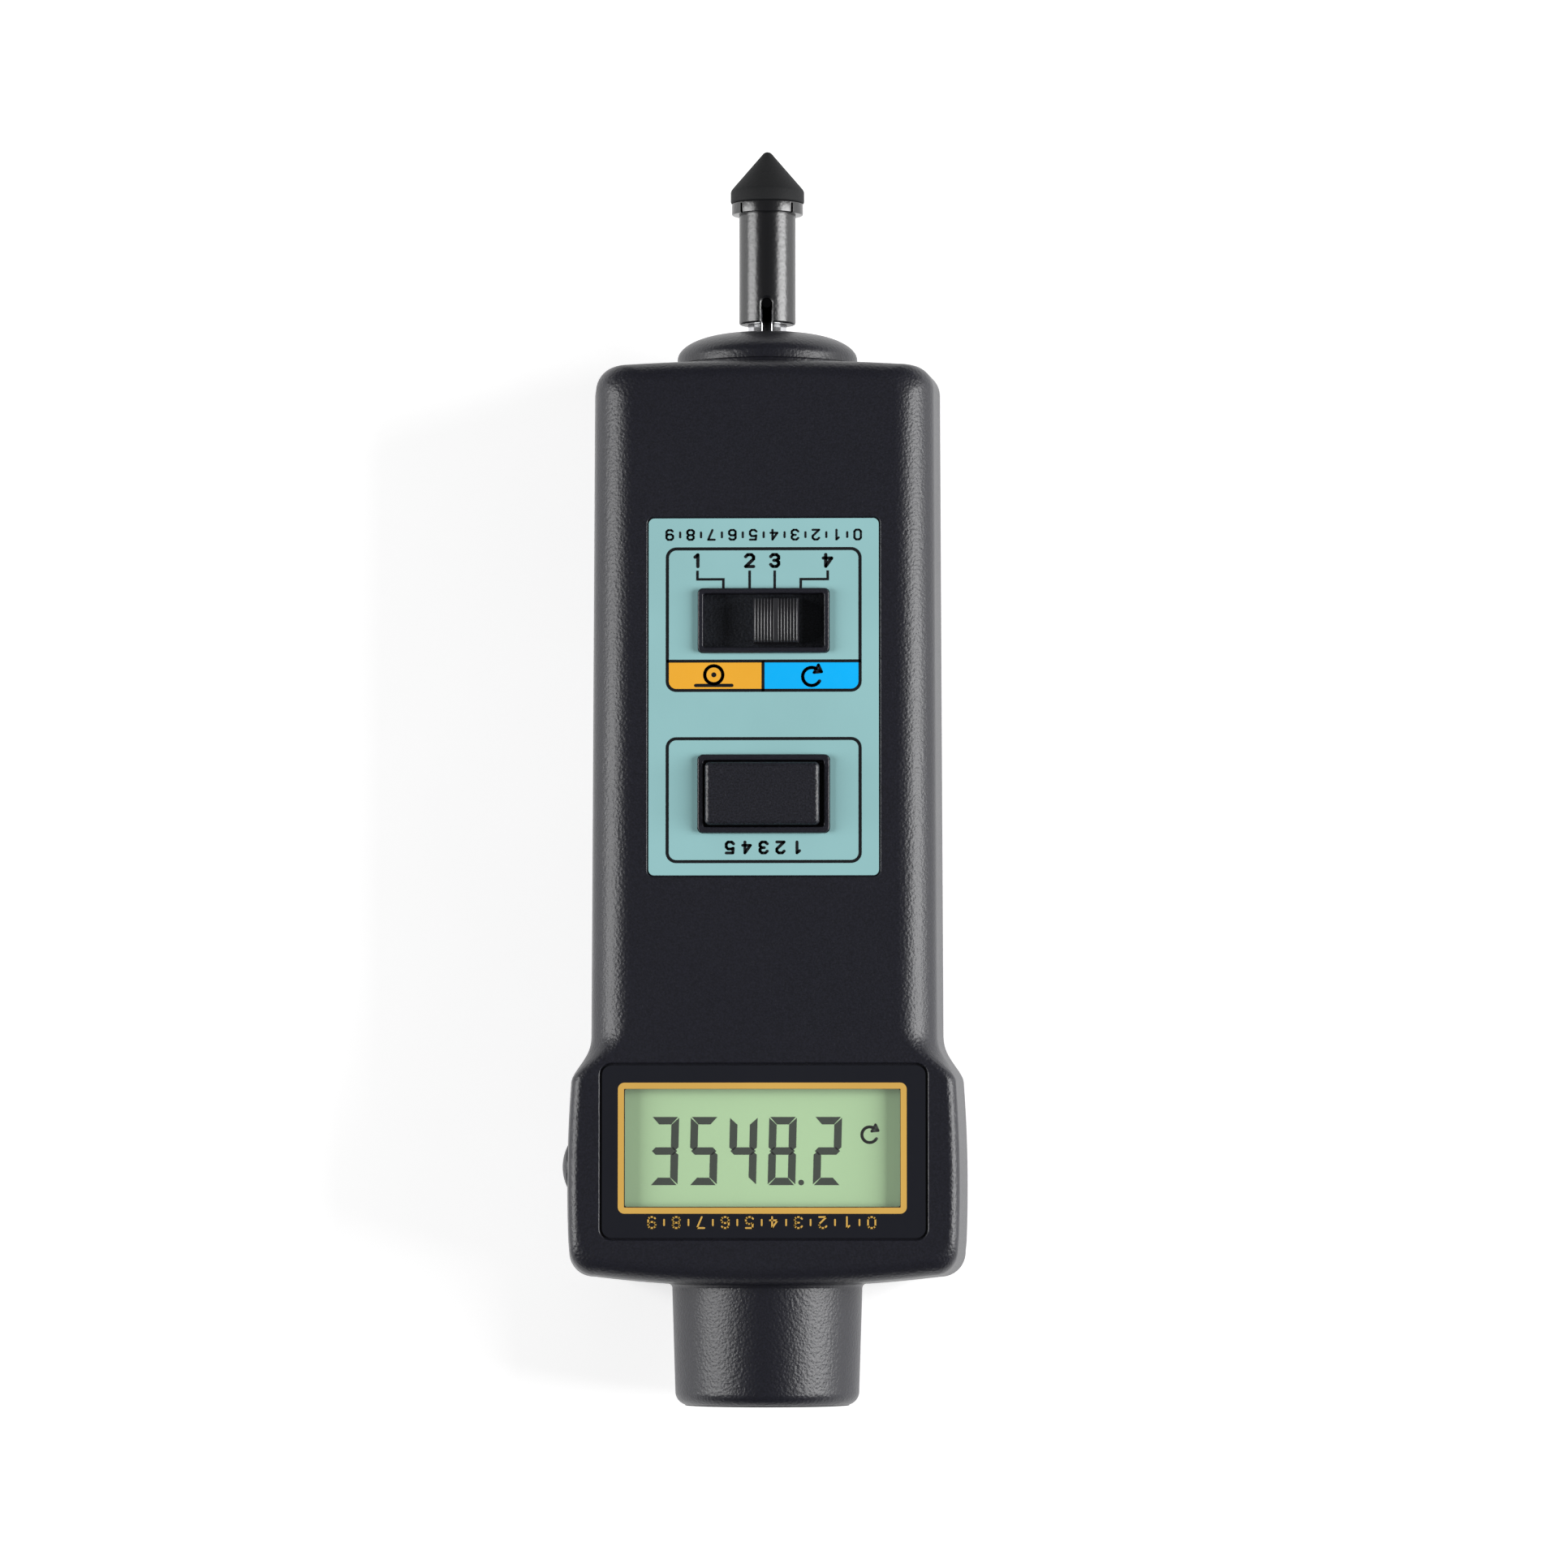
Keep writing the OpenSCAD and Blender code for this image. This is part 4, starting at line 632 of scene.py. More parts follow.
def cover_tools(gap):
    """Wide and narrow parts of the battery cover, or of the channel that it slides in, with a gap added."""
    run = 2 * END_Y
    y = COVER_Y0 - gap + run / 2
    return [slab(COVER_W + 2 * gap, run, -1, COVER_T + gap, 0, y),
            slab(COVER_W + 2 * TONGUE + 2 * gap, run, COVER_T / 2 - gap, COVER_T + gap, 0, y)]


def rear_case():
    body = blank(case_block(-1, 0.0, BACK_EDGE_R, HEAD_EDGE_R + 1, seam=SEAM))
    inside = case_block(-1, WALL, BACK_EDGE_R, HEAD_EDGE_R + 1, levels=5, fine=1, base=-0.5)
    combine(body, [inside], "DIFFERENCE")
    bay = slab(BAY_W + 2 * BAY_WALL, BAY_LEN + 2 * BAY_WALL, RAIL_Z, BAY_ROOF + BAY_WALL, 0, BAY_Y)
    combine(body, [bay], "UNION")
    ledge = END_Y - BAY_Y1 - WALL / 2
    combine(body, [slab(2 * BAY_WALL, ledge, RAIL_Z, RAIL_Z + 2 * BAY_WALL, side * (BAY_W / 2 + BAY_WALL),
                        BAY_Y1 + ledge / 2) for side in (-1, 1)], "UNION")
    combine(body, [rod(SCREW_HEAD_R + 1.4, WALL - 0.1, PART_Z, p) for p in SCREWS], "UNION")
    combine(body, [slab(BAY_W, BAY_LEN, -1, BAY_ROOF, 0, BAY_Y)] + cover_tools(0.2), "DIFFERENCE")
    for x, y in SCREWS:
        combine(body, [
            countersink(SCREW_HEAD_R + 0.1, PART_Z / 2, x, y),
            rod(SCREW_R + 0.1, -1, PART_Z + 1, (x, y), steps=32)], "DIFFERENCE")
    combine(body, [half_ring(-1)], "UNION")
    combine(body, end_holes(), "DIFFERENCE")
    return finished(body, "rear_shell", CASE, "case")


def countersink(r, depth, x, y):
    """Hole up from the back face, its mouth rounded outwards."""
    turn = [math.radians(90 * i / 5) for i in range(6)]
    rings = [at(arc(0, 0, r + MOUTH_R * (1 - math.cos(a)), 0, 352.5, 47), MOUTH_R * (1 - math.sin(a)), x, y)
             for a in reversed(turn)]
    below = [(px, py, -1.0) for px, py, pz in rings[0]]
    rings.append(at(arc(0, 0, r, 0, 352.5, 47), depth, x, y))
    return loft([below] + rings)


def half_ring(up):
    """Half of the ring moulded round the nose's seat."""
    steps = 64
    inner, outer = HOUSING_R + 0.1, NOSE_RING_R
    section = [(inner, END_Y - 1), (outer, END_Y - 1), (outer, NOSE_SEAT - 0.3)]
    section += [(outer - 0.3 + 0.3 * math.cos(a), NOSE_SEAT - 0.3 + 0.3 * math.sin(a))
                for a in (math.radians(t) for t in (30, 60, 90))]
    section.append((inner, NOSE_SEAT))
    rings = []
    for i in range(steps + 1):
        a = math.pi * i / steps * up
        rings.append([(r * math.cos(a), y, AXIS_Z + r * math.sin(a)) for r, y in section])
    return loft(rings)


def end_holes():
    """Holes for the bearing tube, the light hood and the measure button."""
    middle = (0.0, AXIS_Z)
    return [rod(HOUSING_R + 0.1, END_Y - 12, NOSE_SEAT + 1, middle, "Y"),
            rod(HOOD_NECK_R + 0.1, -END_Y - 1, -END_Y + 6, middle, "Y"),
            rod(HOOD_ROOT_R + HOOD_FLARE + 0.1, -END_Y - 1, HOOD_SEAT, middle, "Y"),
            rod(MEASURE_R + 0.2, -HEAD_W / 2 - 2, -HEAD_W / 2 + WALL + 2, (MEASURE_Y, AXIS_Z), "X")]


def battery_cover():
    body = blank(case_block(-1, 0.0, BACK_EDGE_R, HEAD_EDGE_R + 1))
    wide, tongues = cover_tools(0.0)
    lid = blank(wide)
    combine(lid, [tongues], "UNION")
    graph = bpy.context.evaluated_depsgraph_get()
    keep = bmesh.new()
    keep.from_mesh(lid.evaluated_get(graph).to_mesh())
    bmesh.ops.scale(keep, vec=(1 / MM, 1 / MM, 1 / MM), verts=keep.verts)
    bpy.data.objects.remove(lid)
    combine(body, [keep], "INTERSECT")
    grooves = []
    for i in range(GROOVES):
        y = END_Y - 3 * END_EDGE_R - 2 * GROOVE_W * i
        r = GROOVE_W / 2
        ring = arc(0, 0, r, 0, 345, 23)
        grooves.append(loft([[(x, y + u, w + 0.5 * (r - GROOVE_DEPTH)) for u, w in ring]
                             for x in (-COVER_W * 0.25, COVER_W * 0.25)]))
    combine(body, grooves, "DIFFERENCE")
    return finished(body, "battery_lid", CASE, "battery_cover")


# Front panel

def sheet(name, outline, z, thick, material, body="case", holes=()):
    """Thin printed shape: outline and holes as points, from z up by its thickness."""
    bm = bmesh.new()
    loops = [list(outline)] + [list(h) for h in holes]
    flat = [p for loop in loops for p in loop]
    low = [bm.verts.new((px, py, z)) for px, py in flat]
    high = [bm.verts.new((px, py, z + thick)) for px, py in flat]
    for tri in tessellate_polygon([[Vector((px, py, 0)) for px, py in loop] for loop in loops]):
        bm.faces.new([high[k] for k in tri])
        bm.faces.new([low[k] for k in reversed(tri)])
    start = 0
    for loop in loops:
        n = len(loop)
        for i in range(n):
            a, b = start + i, start + (i + 1) % n
            bm.faces.new((low[a], low[b], high[b], high[a]))
        start += n
    bmesh.ops.recalc_face_normals(bm, faces=bm.faces)
    return make(name, bm, material, body)


def moved(points, x=0.0, y=0.0, turn=0.0):
    """Points turned by degrees about the origin, then moved."""
    a = math.radians(turn)
    c, s = math.cos(a), math.sin(a)
    return [(x + px * c - py * s, y + px * s + py * c) for px, py in points]


def ring_print(name, x0, y0, x1, y1, r, line, z, material):
    w, h = x1 - x0, y1 - y0
    x, y = (x0 + x1) / 2, (y0 + y1) / 2
    outer = moved(round_rect(w, h, r), x, y)
    inner = moved(round_rect(w - 2 * line, h - 2 * line, max(r - line, 0.05)), x, y)
    return sheet(name, outer, z, INK_T, material, holes=[inner])


def path_print(name, points, line, z, material):
    """Line of even width through right-angled points, as one flat shape."""
    left, right = [], []
    for i, p in enumerate(points):
        before = Vector(points[i]) - Vector(points[i - 1]) if i else Vector(points[1]) - Vector(p)
        after = Vector(points[i + 1]) - Vector(p) if i + 1 < len(points) else before
        before.normalize()
        after.normalize()
        side = Vector((-before.y - after.y, before.x + after.x))
        side *= line / 2 / max(side.dot(Vector((-before.y, before.x))), 1e-6)
        left.append((p[0] + side.x, p[1] + side.y))
        right.append((p[0] - side.x, p[1] - side.y))
    return sheet(name, left + right[::-1], z, INK_T, material)


# Strokes of the numerals on a 4 by 6 grid
NUMERALS = {
    "0": [[(1, 0), (3, 0), (4, 1), (4, 5), (3, 6), (1, 6), (0, 5), (0, 1), (1, 0)]],
    "1": [[(0.8, 4.8), (2.2, 6), (2.2, 0)]],
    "2": [[(0, 5), (1, 6), (3, 6), (4, 5), (4, 3.8), (0, 0), (4, 0)]],
    "3": [[(0, 5), (1, 6), (3, 6), (4, 5), (4, 4), (3, 3.1), (1.6, 3.1)],
          [(3, 3.1), (4, 2.2), (4, 1), (3, 0), (1, 0), (0, 1)]],
    "4": [[(3, 0), (3, 6), (0, 1.8), (4.2, 1.8)]],
    "5": [[(4, 6), (0.4, 6), (0.2, 3.4), (1.4, 3.8), (3, 3.8), (4, 2.8), (4, 1), (3, 0), (1, 0), (0, 1)]],
    "6": [[(3.8, 5.2), (3, 6), (1, 6), (0, 5), (0, 1), (1, 0), (3, 0), (4, 1), (4, 2.4), (3, 3.3), (1, 3.3),
           (0, 2.4)]],
    "7": [[(0, 6), (4, 6), (1.4, 0)]],
    "8": [[(1, 3.1), (0.1, 4), (0.1, 5.1), (1, 6), (3, 6), (3.9, 5.1), (3.9, 4), (3, 3.1), (1, 3.1),
           (0, 2.2), (0, 0.9), (1, 0), (3, 0), (4, 0.9), (4, 2.2), (3, 3.1)]],
    "9": [[(0.2, 0.8), (1, 0), (3, 0), (4, 1), (4, 5), (3, 6), (1, 6), (0, 5), (0, 3.6), (1, 2.7), (3, 2.7),
           (4, 3.6)]]}


def numeral_mesh(bm, text, x, y, height, weight, z, turn=0.0):
    """Adds a row of numerals, centred, as overlapping flat strokes with round ends."""
    unit = height / 6
    pitch = 5.6 * unit
    width = pitch * (len(text) - 1)
    for n, char in enumerate(text):
        ox = n * pitch - width / 2 - 2 * unit
        for stroke in NUMERALS[char]:
            points = [(ox + px * unit, py * unit - height / 2) for px, py in stroke]
            points = moved(points, x, y, turn)
            for a, b in zip(points, points[1:]):
                stadium(bm, a, b, weight / 2, z)


def stadium(bm, a, b, r, z):
    """Adds a stroke with round ends."""
    angle = math.degrees(math.atan2(b[1] - a[1], b[0] - a[0]))
    outline = arc(b[0], b[1], r, angle - 90, angle + 90, 6) + arc(a[0], a[1], r, angle + 90, angle + 270, 6)
    inked(bm, outline, z)


def inked(bm, outline, z):
    """Adds an outline as a slab of ink."""
    low = [bm.verts.new((px, py, z)) for px, py in outline]
    high = [bm.verts.new((px, py, z + INK_T)) for px, py in outline]
    bm.faces.new(high)
    bm.faces.new(low[::-1])
    n = len(low)
    for i in range(n):
        j = (i + 1) % n
        bm.faces.new((low[i], low[j], high[j], high[i]))


def numerals(name, rows, height, weight, z, material, turn=0.0):
    bm = bmesh.new()
    for text, x, y in rows:
        numeral_mesh(bm, text, x, y, height, weight, z, turn)
    return make(name, bm, material, "case")


def scale_row(name, count, x, y, pitch, height, weight, z, material):
    """Plain scale, read from the display's end: numerals with a short tick between each two."""
    bm = bmesh.new()
    for n in range(count):
        px = x + ((count - 1) / 2 - n) * pitch
        numeral_mesh(bm, str(n), px, y, height, weight, z, 180)
        if n:
            stadium(bm, (px + pitch / 2, y - height / 4), (px + pitch / 2, y + height / 4), weight / 2, z)
    return make(name, bm, material, "case")


def label():
    outer = moved(round_rect(LABEL_W, LABEL_LEN, LABEL_R), 0, LABEL_Y)
    holes = [moved(round_rect(w + LABEL_GAP, h + LABEL_GAP, r), 0, y)
             for w, h, r, y in ((SWITCH_W, SWITCH_H, SWITCH_RIM, SWITCH_Y),
                                (KEY_FRAME_W, KEY_FRAME_H, KEY_RIM, KEY_Y))]
    film = sheet("label_film", outer, CASE_T - LABEL_T, LABEL_T - INK_T, LABEL, holes=holes)
    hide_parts("label_plate")
    z = CASE_T - INK_T
    for field, x0, x1, material in (("amber_field", -FRAME_X + FIELD_GAP, DIVIDE_X, AMBER),
                                    ("blue_field", DIVIDE_X, FRAME_X - FIELD_GAP, BLUE)):
        low, high = FRAME_1[0] + FIELD_GAP, DIVIDE_Y
        r = FRAME_R - FIELD_GAP
        if x0 < DIVIDE_X:
            outline = arc(x0 + r, low + r, r, 180, 270, 8) + [(x1, low), (x1, high), (x0, high)]
        else:
            outline = arc(x1 - r, low + r, r, -90, 0, 8) + [(x1, high), (x0, high), (x0, low)]
        sheet(field, outline, z, INK_T * 0.5, material)
    for n, (low, high) in enumerate((FRAME_1, FRAME_2)):
        ring_print(f"frame_print_{n + 1}", -FRAME_X, low, FRAME_X, high, FRAME_R, FRAME_LINE, z, INK)
    tuck = FIELD_GAP / 2
    across = [(-FRAME_X + tuck, DIVIDE_Y), (FRAME_X - tuck, DIVIDE_Y)]
    path_print("divider_across", across, DIVIDE_LINE, z, INK)
    path_print("divider_down", [(DIVIDE_X, DIVIDE_Y), (DIVIDE_X, FRAME_1[0] + tuck)], DIVIDE_LINE, z, INK)
    foot = SWITCH_Y + SWITCH_H / 2 + 0.02
    for i, (x, out) in enumerate(zip(LEAD_X, LEAD_OUT)):
        points = [(x, foot), (x, LEAD_TURN), (out, LEAD_TURN), (out, LEAD_TOP)]
        if out == x:
            points = [(x, foot), (x, LEAD_TOP)]
        path_print(f"lead_{i + 1}", points, LEAD_LINE, z, INK)
    positions = [(str(i + 1), x, POSITION_Y) for i, x in enumerate(LEAD_OUT)]
    numerals("position_numbers", positions[:3], POSITION_H, POSITION_LINE, z, INK)
    numerals("position_number_4", positions[3:], POSITION_H, POSITION_LINE, z, INK, turn=180)
    scale_row("label_scale", 10, 0.0, TITLE_Y, TITLE_PITCH, TITLE_H, TITLE_LINE, z, INK)
    numerals("key_numbers", [(str(n + 1), (2 - n) * KEY_ROW_PITCH, KEY_ROW_Y) for n in range(5)],
             KEY_ROW_H, KEY_ROW_LINE, z, INK, turn=180)
    icons(z)


def icons(z):
    """Plain pictograms in the two coloured fields: a turning arrow and a wheel on a line."""
    bm = bmesh.new()
    turn_arrow(bm, TURN_ICON, ICON_R, ICON_LINE, z)
    make("turn_icon", bm, INK, "case")
    bm = bmesh.new()
    cx, cy = WHEEL_ICON[0], WHEEL_ICON[1] + 0.3
    ring_strokes(bm, (cx, cy), ICON_R, 0, 360, ICON_LINE, z)
    rail = cy - ICON_R - 0.25
    stadium(bm, (cx - 2 * ICON_R, rail), (cx + 2 * ICON_R, rail), ICON_LINE, z)
    stadium(bm, (cx, cy), (cx + INK_T, cy), ICON_LINE * 1.5, z)
    make("wheel_icon", bm, INK, "case")


def ring_strokes(bm, centre, r, start, end, line, z):
    """Adds strokes of 15 degrees along a circle."""
    for a in range(start, end, 15):
        p, q = (arc(centre[0], centre[1], r, a + k, a + k, 1)[0] for k in (0, 15))
        stadium(bm, p, q, line, z)


def turn_arrow(bm, centre, r, line, z):
    """Open ring of strokes with an arrow head at its end."""
    ring_strokes(bm, centre, r, 60, 330, line, z)
    tip = arc(centre[0], centre[1], r, 60, 60, 1)[0]
    u, v = (tip[0] - centre[0]) / r, (tip[1] - centre[1]) / r
    point = (tip[0] + 0.7 * r * v, tip[1] - 0.7 * r * u)
    sides = [(tip[0] + k * r * u, tip[1] + k * r * v) for k in (-0.5, 0.0, 0.5)]
    for side in sides:
        stadium(bm, side, point, line * 0.8, z)
    stadium(bm, sides[0], sides[2], line * 0.8, z)


# Display

def display():
    top = CASE_T - 0.1
    outer = moved(round_rect(WINDOW_W, WINDOW_H, WINDOW_R), 0, WINDOW_Y)
    hole = moved(round_rect(VIEW_W, VIEW_H, 0.35), VIEW_X, VIEW_Y)
    panel = sheet("display_panel", outer, top - WINDOW_T, WINDOW_T - INK_T, PANEL, holes=[hole])
    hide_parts("display_window")
    glass = sheet("display_clear", hole, top - 0.25, 0.23, CLEAR)
    z = top - INK_T
    ring_print("gold_frame", GOLD_X[0], GOLD_Y[0], GOLD_X[1], GOLD_Y[1], GOLD_R, GOLD_LINE, z, GOLD)
    scale_row("panel_scale", 10, GOLD_ROW_X, GOLD_ROW_Y, GOLD_ROW_PITCH, GOLD_ROW_H, GOLD_ROW_LINE, z, GOLD)
    lcd_digits()


SEGMENTS = {"0": "abcdef", "1": "bc", "2": "abged", "3": "abgcd", "4": "fgbc", "5": "afgcd", "6": "afgedc",
            "7": "abc", "8": "abcdefg", "9": "abcdfg"}


def segment_outline(which, w, h, t, gap):
    """One bar of a seven-segment digit, w by h, with mitred ends."""
    half, g = h / 2, gap / 2
    if which in "ad":
        y, inward = (h, -1) if which == "a" else (0, 1)
        return [(2 * g, y), (w - 2 * g, y), (w - t - g * 0.6, y + inward * t),
                (t + g * 0.6, y + inward * t)]
    if which == "g":
        near, far = g + 0.1, w - g - 0.1
        return [(near, half), (near + t / 2, half + t / 2), (far - t / 2, half + t / 2), (far, half),
                (far - t / 2, half - t / 2), (near + t / 2, half - t / 2)]
    right = which in "bc"
    upper = which in "bf"
    x_out, x_in = (w, w - t) if right else (0, t)
    end = h if upper else 0
    way = 1 if upper else -1
    return [(x_out, end - way * 2 * g), (x_in, end - way * (t + g * 0.6)), (x_in, half + way * (t / 2 + g)),
            ((x_out + x_in) / 2, half + way * g), (x_out, half + way * (t / 2 - g * 0.4))]


def lcd_digits():
    z = FACE_IN
    x = DIGIT_X
    for n, char in enumerate(READING):
        if char == ".":
            dot = arc(x - DIGIT_PITCH + DIGIT_W + POINT_X, DIGIT_Y0 + POINT_Y, POINT_R, 0, 345, 23)
            sheet("display_point", dot, z, INK_T, SEGMENT)
            x += DIGIT_EXTRA
            continue
        bm = bmesh.new()
        for which in SEGMENTS[char]:
            points = [(x + px + DIGIT_LEAN * py, DIGIT_Y0 + py)
                      for px, py in segment_outline(which, DIGIT_W, DIGIT_H, DIGIT_T, DIGIT_GAP)]
            inked(bm, points, z)
        bmesh.ops.recalc_face_normals(bm, faces=bm.faces)
        make(f"display_digit_{n + 1}", bm, SEGMENT, "case")
        x += DIGIT_PITCH
    bm = bmesh.new()
    turn_arrow(bm, UNIT_ICON, UNIT_ICON_R, UNIT_ICON_LINE, z)
    make("display_turn_icon", bm, SEGMENT, "case")


# Controls

def knob():
    """Selector knob, dished and ribbed on both sides of a bare middle, with the shutter under it."""
    w, steps, base = KNOB_W, 260, KNOB_BASE
    profile = []
    for i in range(steps + 1):
        s = -1 + 2 * i / steps
        dish = KNOB_DISH * (s * s - 1) + 0.25 * KNOB_DISH
        flank = (abs(s) - KNOB_BARE) / (1 - KNOB_BARE)
        rib = KNOB_RIB * (0.5 - 0.5 * math.cos(math.pi * KNOB_RIBS * flank)) if flank > 0 else 0.0
        edge = max(abs(s) - 0.95, 0) / 0.05
        profile.append((KNOB_X + s * w / 2, KNOB_TOP + min(dish, 0) - rib - 0.35 * edge * edge))
    outline = [(KNOB_X - w / 2, base)] + profile + [(KNOB_X + w / 2, base)]
    eased = ((0.0, 0.5), (0.12, 0.18), (0.4, 0.0))
    rows = [(-w / 2 + inset, sink) for inset, sink in eased]
    rows += [(w / 2 - inset, sink) for inset, sink in reversed(eased)]
    rings = [[(x, SWITCH_Y + y, z - sink if z > base + 1 else z) for x, z in outline] for y, sink in rows]
    obj = make("knob_cap", loft(rings), KNOB, "selector", smooth=50)
    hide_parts("switch_knob")
    shutter = slab(SHUTTER_W, SHUTTER_H, base, base + SHUTTER_T, KNOB_X, SWITCH_Y)
    slide = make("knob_shutter", shutter, DARK, "selector")


def key():
    bm = plate(KEY_W, KEY_H, 0.75, FACE_IN - 1.5, KEY_TOP, KEY_X, KEY_Y, ease=0.75)
    body = blank(bm)
    combine(body, [slab(KEY_W + 2.2, KEY_H + 2.2, FACE_IN - 1.5, FACE_IN - 0.3, KEY_X, KEY_Y),
                   rod(2.5, 32.9, FACE_IN - 1.4, (KEY_X, KEY_Y), steps=48)], "UNION")
    obj = finished(body, "key_cap", KEY, "memory_key")
    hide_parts("memory_button")


# Turned ends

def round_profile(cx, cy, r, start, end, steps=16):
    """Arc of a turned profile, which never passes the axis."""
    return [(max(px, 0.0), py) for px, py in arc(cx, cy, r, start, end, steps)]


def nose():
    """Bearing tube with its domed nose."""
    bore = HOUSING_R - 2.0
    top = NOSE_FACE - 6.3
    profile = [(bore, HOUSING_Y0), (HOUSING_R, HOUSING_Y0), (HOUSING_R, NOSE_SEAT), (NOSE_R, NOSE_SEAT)]
    profile += [(NOSE_R - DOME_W + DOME_W * px, NOSE_FACE - DOME_H + DOME_H * py)
                for px, py in arc(0, 0, 1, 0, 90, 32)]
    profile += [(NOSE_HOLE + 0.3, NOSE_FACE), (NOSE_HOLE, NOSE_FACE - 0.3), (NOSE_HOLE, top), (bore, top)]
    obj = make("nose_dome", turned(profile, 192), NOSE, "case", smooth=40)
    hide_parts("nose_housing")


def hood():
    """Light hood: round mouth, straight barrel and a hollow fillet that runs into the case end."""
    root = HOOD_ROOT_R + HOOD_FLARE
    start = 0.6 - END_Y
    lip = HOOD_EDGE_R / 3
    profile = [(HOOD_BORE_R, HOOD_COLLAR_Y + HOOD_COLLAR_T), (HOOD_BORE_R, HOOD_MOUTH_Y + lip)]
    profile += [(HOOD_BORE_R + lip * (1 - math.cos(a)), HOOD_MOUTH_Y + lip * (1 - math.sin(a)))
                for a in (math.radians(15 * k) for k in range(1, 7))]
    profile += round_profile(HOOD_MOUTH_R - HOOD_EDGE_R, HOOD_MOUTH_Y + HOOD_EDGE_R, HOOD_EDGE_R, -90, 0)
    profile += round_profile(root, start - HOOD_FLARE, HOOD_FLARE, 180, 90)
    profile += [(root, HOOD_SEAT), (HOOD_NECK_R, HOOD_SEAT), (HOOD_NECK_R, HOOD_COLLAR_Y),
                (HOOD_COLLAR_R, HOOD_COLLAR_Y), (HOOD_COLLAR_R, HOOD_COLLAR_Y + HOOD_COLLAR_T)]
    obj = make("hood_barrel", turned(profile, 192), CASE, "case", smooth=40)
    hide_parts("light_hood")


def sleeve():
    """Slotted sleeve with its notched flange."""
    inner, bevel, rim = SHAFT_R + 0.05, ADAPTER_BEVEL, ADAPTER_BEVEL / 2
    profile = [(inner, SLEEVE_Y)] + round_profile(SLEEVE_R - bevel, SLEEVE_Y + bevel, bevel, -90, 0, 6)
    profile += [(SLEEVE_R, FLANGE_Y)] + round_profile(FLANGE_R - rim, FLANGE_Y + rim, rim, -90, 0, 5)
    profile += round_profile(FLANGE_R - rim, CONE_Y - rim, rim, 0, 90, 5)
    profile += [(SPIGOT_R, CONE_Y), (SPIGOT_R, CONE_Y + SPIGOT_LEN), (0, CONE_Y + SPIGOT_LEN),
                (0, SLEEVE_Y + SOCKET), (inner, SLEEVE_Y + SOCKET)]
    body = blank(turned(profile, 192))
    reach = SLEEVE_R + 1
    slot = loft([at(slot_outline(0.0), AXIS_Z - reach), at(slot_outline(0.0), AXIS_Z + reach)])
    flat = math.sqrt(SLEEVE_R ** 2 - (PIN_SLOT_W / 2) ** 2)
    eases = [loft([at(slot_outline(-0.02), AXIS_Z + way * (flat - PIN_SLOT_EASE)),
                   at(slot_outline(PIN_SLOT_EASE), AXIS_Z + way * flat),
                   at(slot_outline(PIN_SLOT_EASE + 0.3), AXIS_Z + way * (flat + 0.3))]) for way in (1, -1)]
    combine(body, [slot] + eases + [notch(a) for a in (45, 135, 225, 315)], "DIFFERENCE")
    obj = finished(body, "adapter_body", ADAPTER, "adapter", smooth=40)
    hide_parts("adapter_sleeve")


def rubber_tip():
    """Rubber cone on the sleeve's spigot."""
    apex = CONE_TOP - CONE_TIP_R + CONE_TIP_R / math.sin(CONE_ANGLE)
    skirt = apex - CONE_R / math.tan(CONE_ANGLE)
    bore, depth = SPIGOT_R + CONE_FIT, CONE_Y + SPIGOT_LEN + CONE_FIT
    profile = [(bore, CONE_Y)]
    profile += round_profile(CONE_R - CONE_EDGE_R, CONE_Y + CONE_EDGE_R, CONE_EDGE_R, -90, 0, 5)
    profile += [(CONE_R, skirt - 0.25), (CONE_R - 0.06, skirt - 0.02), (CONE_R - 0.28, skirt + 0.32)]
    profile += round_profile(0, CONE_TOP - CONE_TIP_R, CONE_TIP_R, math.degrees(CONE_ANGLE), 90, 12)
    profile += [(0, depth), (bore, depth)]
    cone = make("tip_cone", turned(profile, 192), RUBBER, "adapter", smooth=40)
    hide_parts("rubber_cone")


def slot_outline(grow):
    """Slot open at the sleeve's foot, with a round end, widened all round."""
    r = PIN_SLOT_W / 2 + grow
    end = SLEEVE_Y + PIN_SLOT_LEN - PIN_SLOT_W / 2
    return [(-r, SLEEVE_Y - 1), (r, SLEEVE_Y - 1)] + arc(0, end, r, 0, 180, 16)


def notch(turn):
    """Narrow cut in the flange's foot."""
    run = NOTCH_DEPTH + 1
    bm = slab(run, NOTCH_W, -1.0, CONE_Y - FLANGE_Y - 0.3, FLANGE_R - NOTCH_DEPTH + run / 2, 0)
    a = math.radians(turn)
    place = Matrix(((math.cos(a), -math.sin(a), 0, 0), (0, 0, 1, FLANGE_Y),
                    (math.sin(a), math.cos(a), 0, AXIS_Z), (0, 0, 0, 1)))
    bm.transform(place)
    bmesh.ops.recalc_face_normals(bm, faces=bm.faces)
    return bm


dress_nodes()
for shell, node in ((front_case(), "front_case"), (rear_case(), "rear_case"),
                    (battery_cover(), "battery_cover")):
    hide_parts(node)
label()
display()
knob()
key()
nose()
hood()
sleeve()
rubber_tip()


# Floor, light and camera

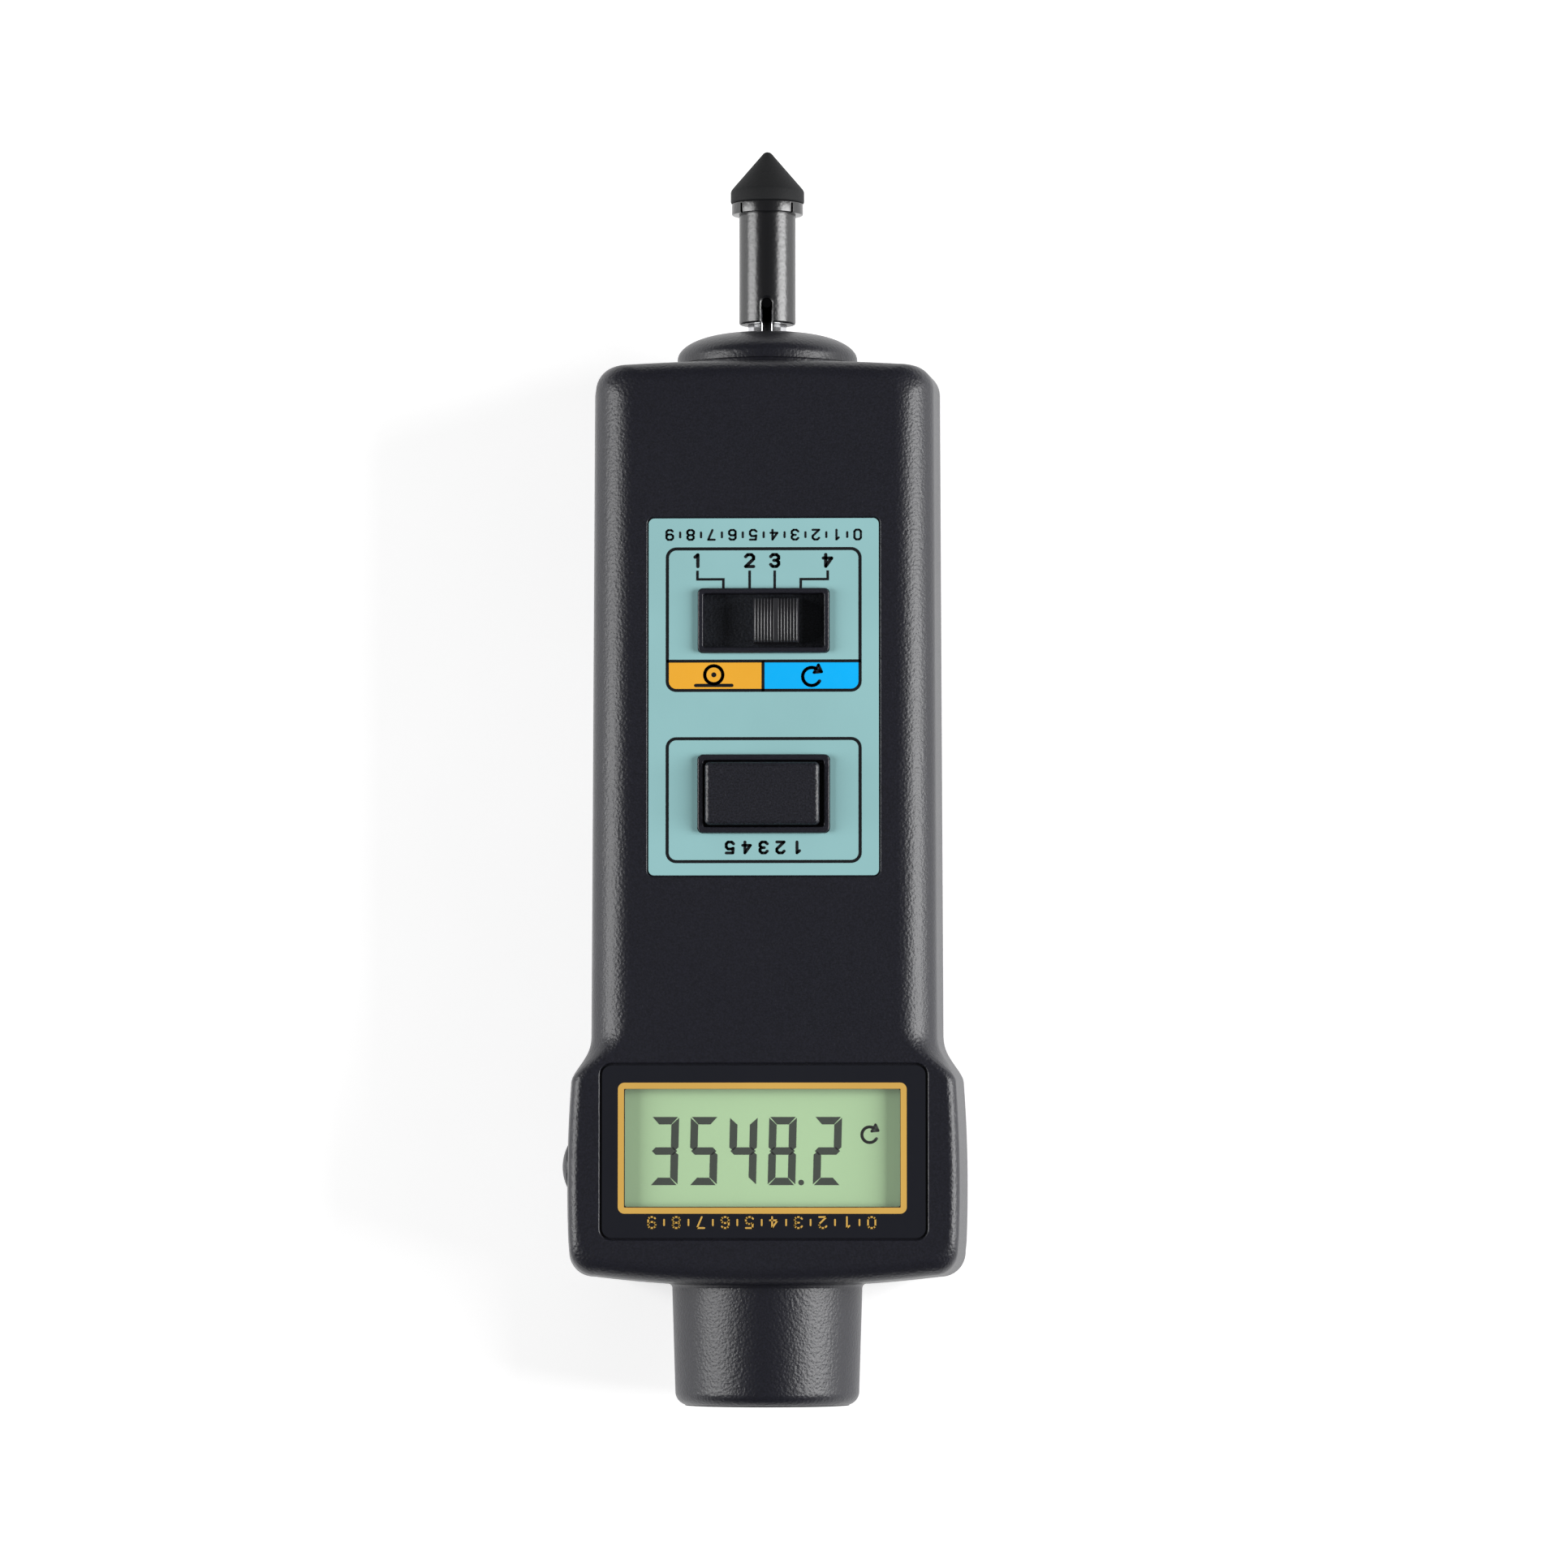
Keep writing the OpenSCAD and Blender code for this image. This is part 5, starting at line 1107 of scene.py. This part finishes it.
def floor():
    bm = bmesh.new()
    bmesh.ops.create_grid(bm, x_segments=1, y_segments=1, size=2500)
    mat, nodes, links, shader = nodes_of("floor paper")
    shader.inputs["Roughness"].default_value = 0.9
    shader.inputs["Specular IOR Level"].default_value = 0.0
    fibre = texture(nodes, links, "ShaderNodeTexNoise", 30.0, Detail=4.0)
    links.new(ramp(nodes, links, fibre.outputs["Fac"],
                   [(0.3, (0.8, 0.8, 0.8, 1)), (0.7, (0.82, 0.82, 0.82, 1))]),
              shader.inputs["Base Color"])
    glow = nodes.new("ShaderNodeEmission")
    path = nodes.new("ShaderNodeLightPath")
    seen = maths(nodes, links, "MAXIMUM", path.outputs["Is Camera Ray"], path.outputs["Is Glossy Ray"])
    seen = maths(nodes, links, "MAXIMUM", seen, path.outputs["Is Transmission Ray"])
    links.new(maths(nodes, links, "MULTIPLY", seen, FLOOR_GLOW), glow.inputs["Strength"])
    both = nodes.new("ShaderNodeAddShader")
    links.new(shader.outputs["BSDF"], both.inputs[0])
    links.new(glow.outputs["Emission"], both.inputs[1])
    links.new(both.outputs["Shader"], nodes["Material Output"].inputs["Surface"])
    obj = make("floor", bm, mat, None)
    obj.location.z = -0.02 * MM


def softbox(name, place, aim, width, height, watts):
    light = bpy.data.lights.new(name, "AREA")
    light.shape = "RECTANGLE"
    light.size, light.size_y = width * MM, height * MM
    light.energy = watts
    obj = bpy.data.objects.new(name, light)
    bpy.context.scene.collection.objects.link(obj)
    obj.location = Vector(place) * MM
    obj.rotation_euler = (Vector(aim) - Vector(place)).to_track_quat("-Z", "Y").to_euler()
    obj.visible_camera = False


def studio():
    reach = (LIGHT_FAR * math.sin(LIGHT_TILT), LIGHT_FAR * math.cos(LIGHT_TILT))
    for side, name, watts in ((-1, "left_box", LEFT_WATTS), (1, "right_box", RIGHT_WATTS)):
        softbox(name, (side * reach[0], 0, reach[1]), (0, 0, AXIS_Z), BOX_W, BOX_LEN, watts)
    world = bpy.data.worlds.new("studio")
    world.use_nodes = True
    world.node_tree.nodes["Background"].inputs["Color"].default_value = (1, 1, 1, 1)
    world.node_tree.nodes["Background"].inputs["Strength"].default_value = SKY
    bpy.context.scene.world = world


def camera():
    data = bpy.data.cameras.new("camera")
    data.sensor_width = 36.0
    data.lens = CAMERA_LENS
    data.clip_start, data.clip_end = 0.05, 20.0
    obj = bpy.data.objects.new("camera", data)
    bpy.context.scene.collection.objects.link(obj)
    obj.location = Vector(CAMERA_AT) * MM
    look = (Vector(CAMERA_AIM) - Vector(CAMERA_AT)).normalized()
    right = look.cross(Vector((0, 1, 0))).normalized()
    up = right.cross(look)
    obj.rotation_euler = Matrix((right, up, -look)).transposed().to_euler()
    bpy.context.scene.camera = obj


floor()
studio()
camera()
bpy.context.scene.view_settings.view_transform = "Standard"
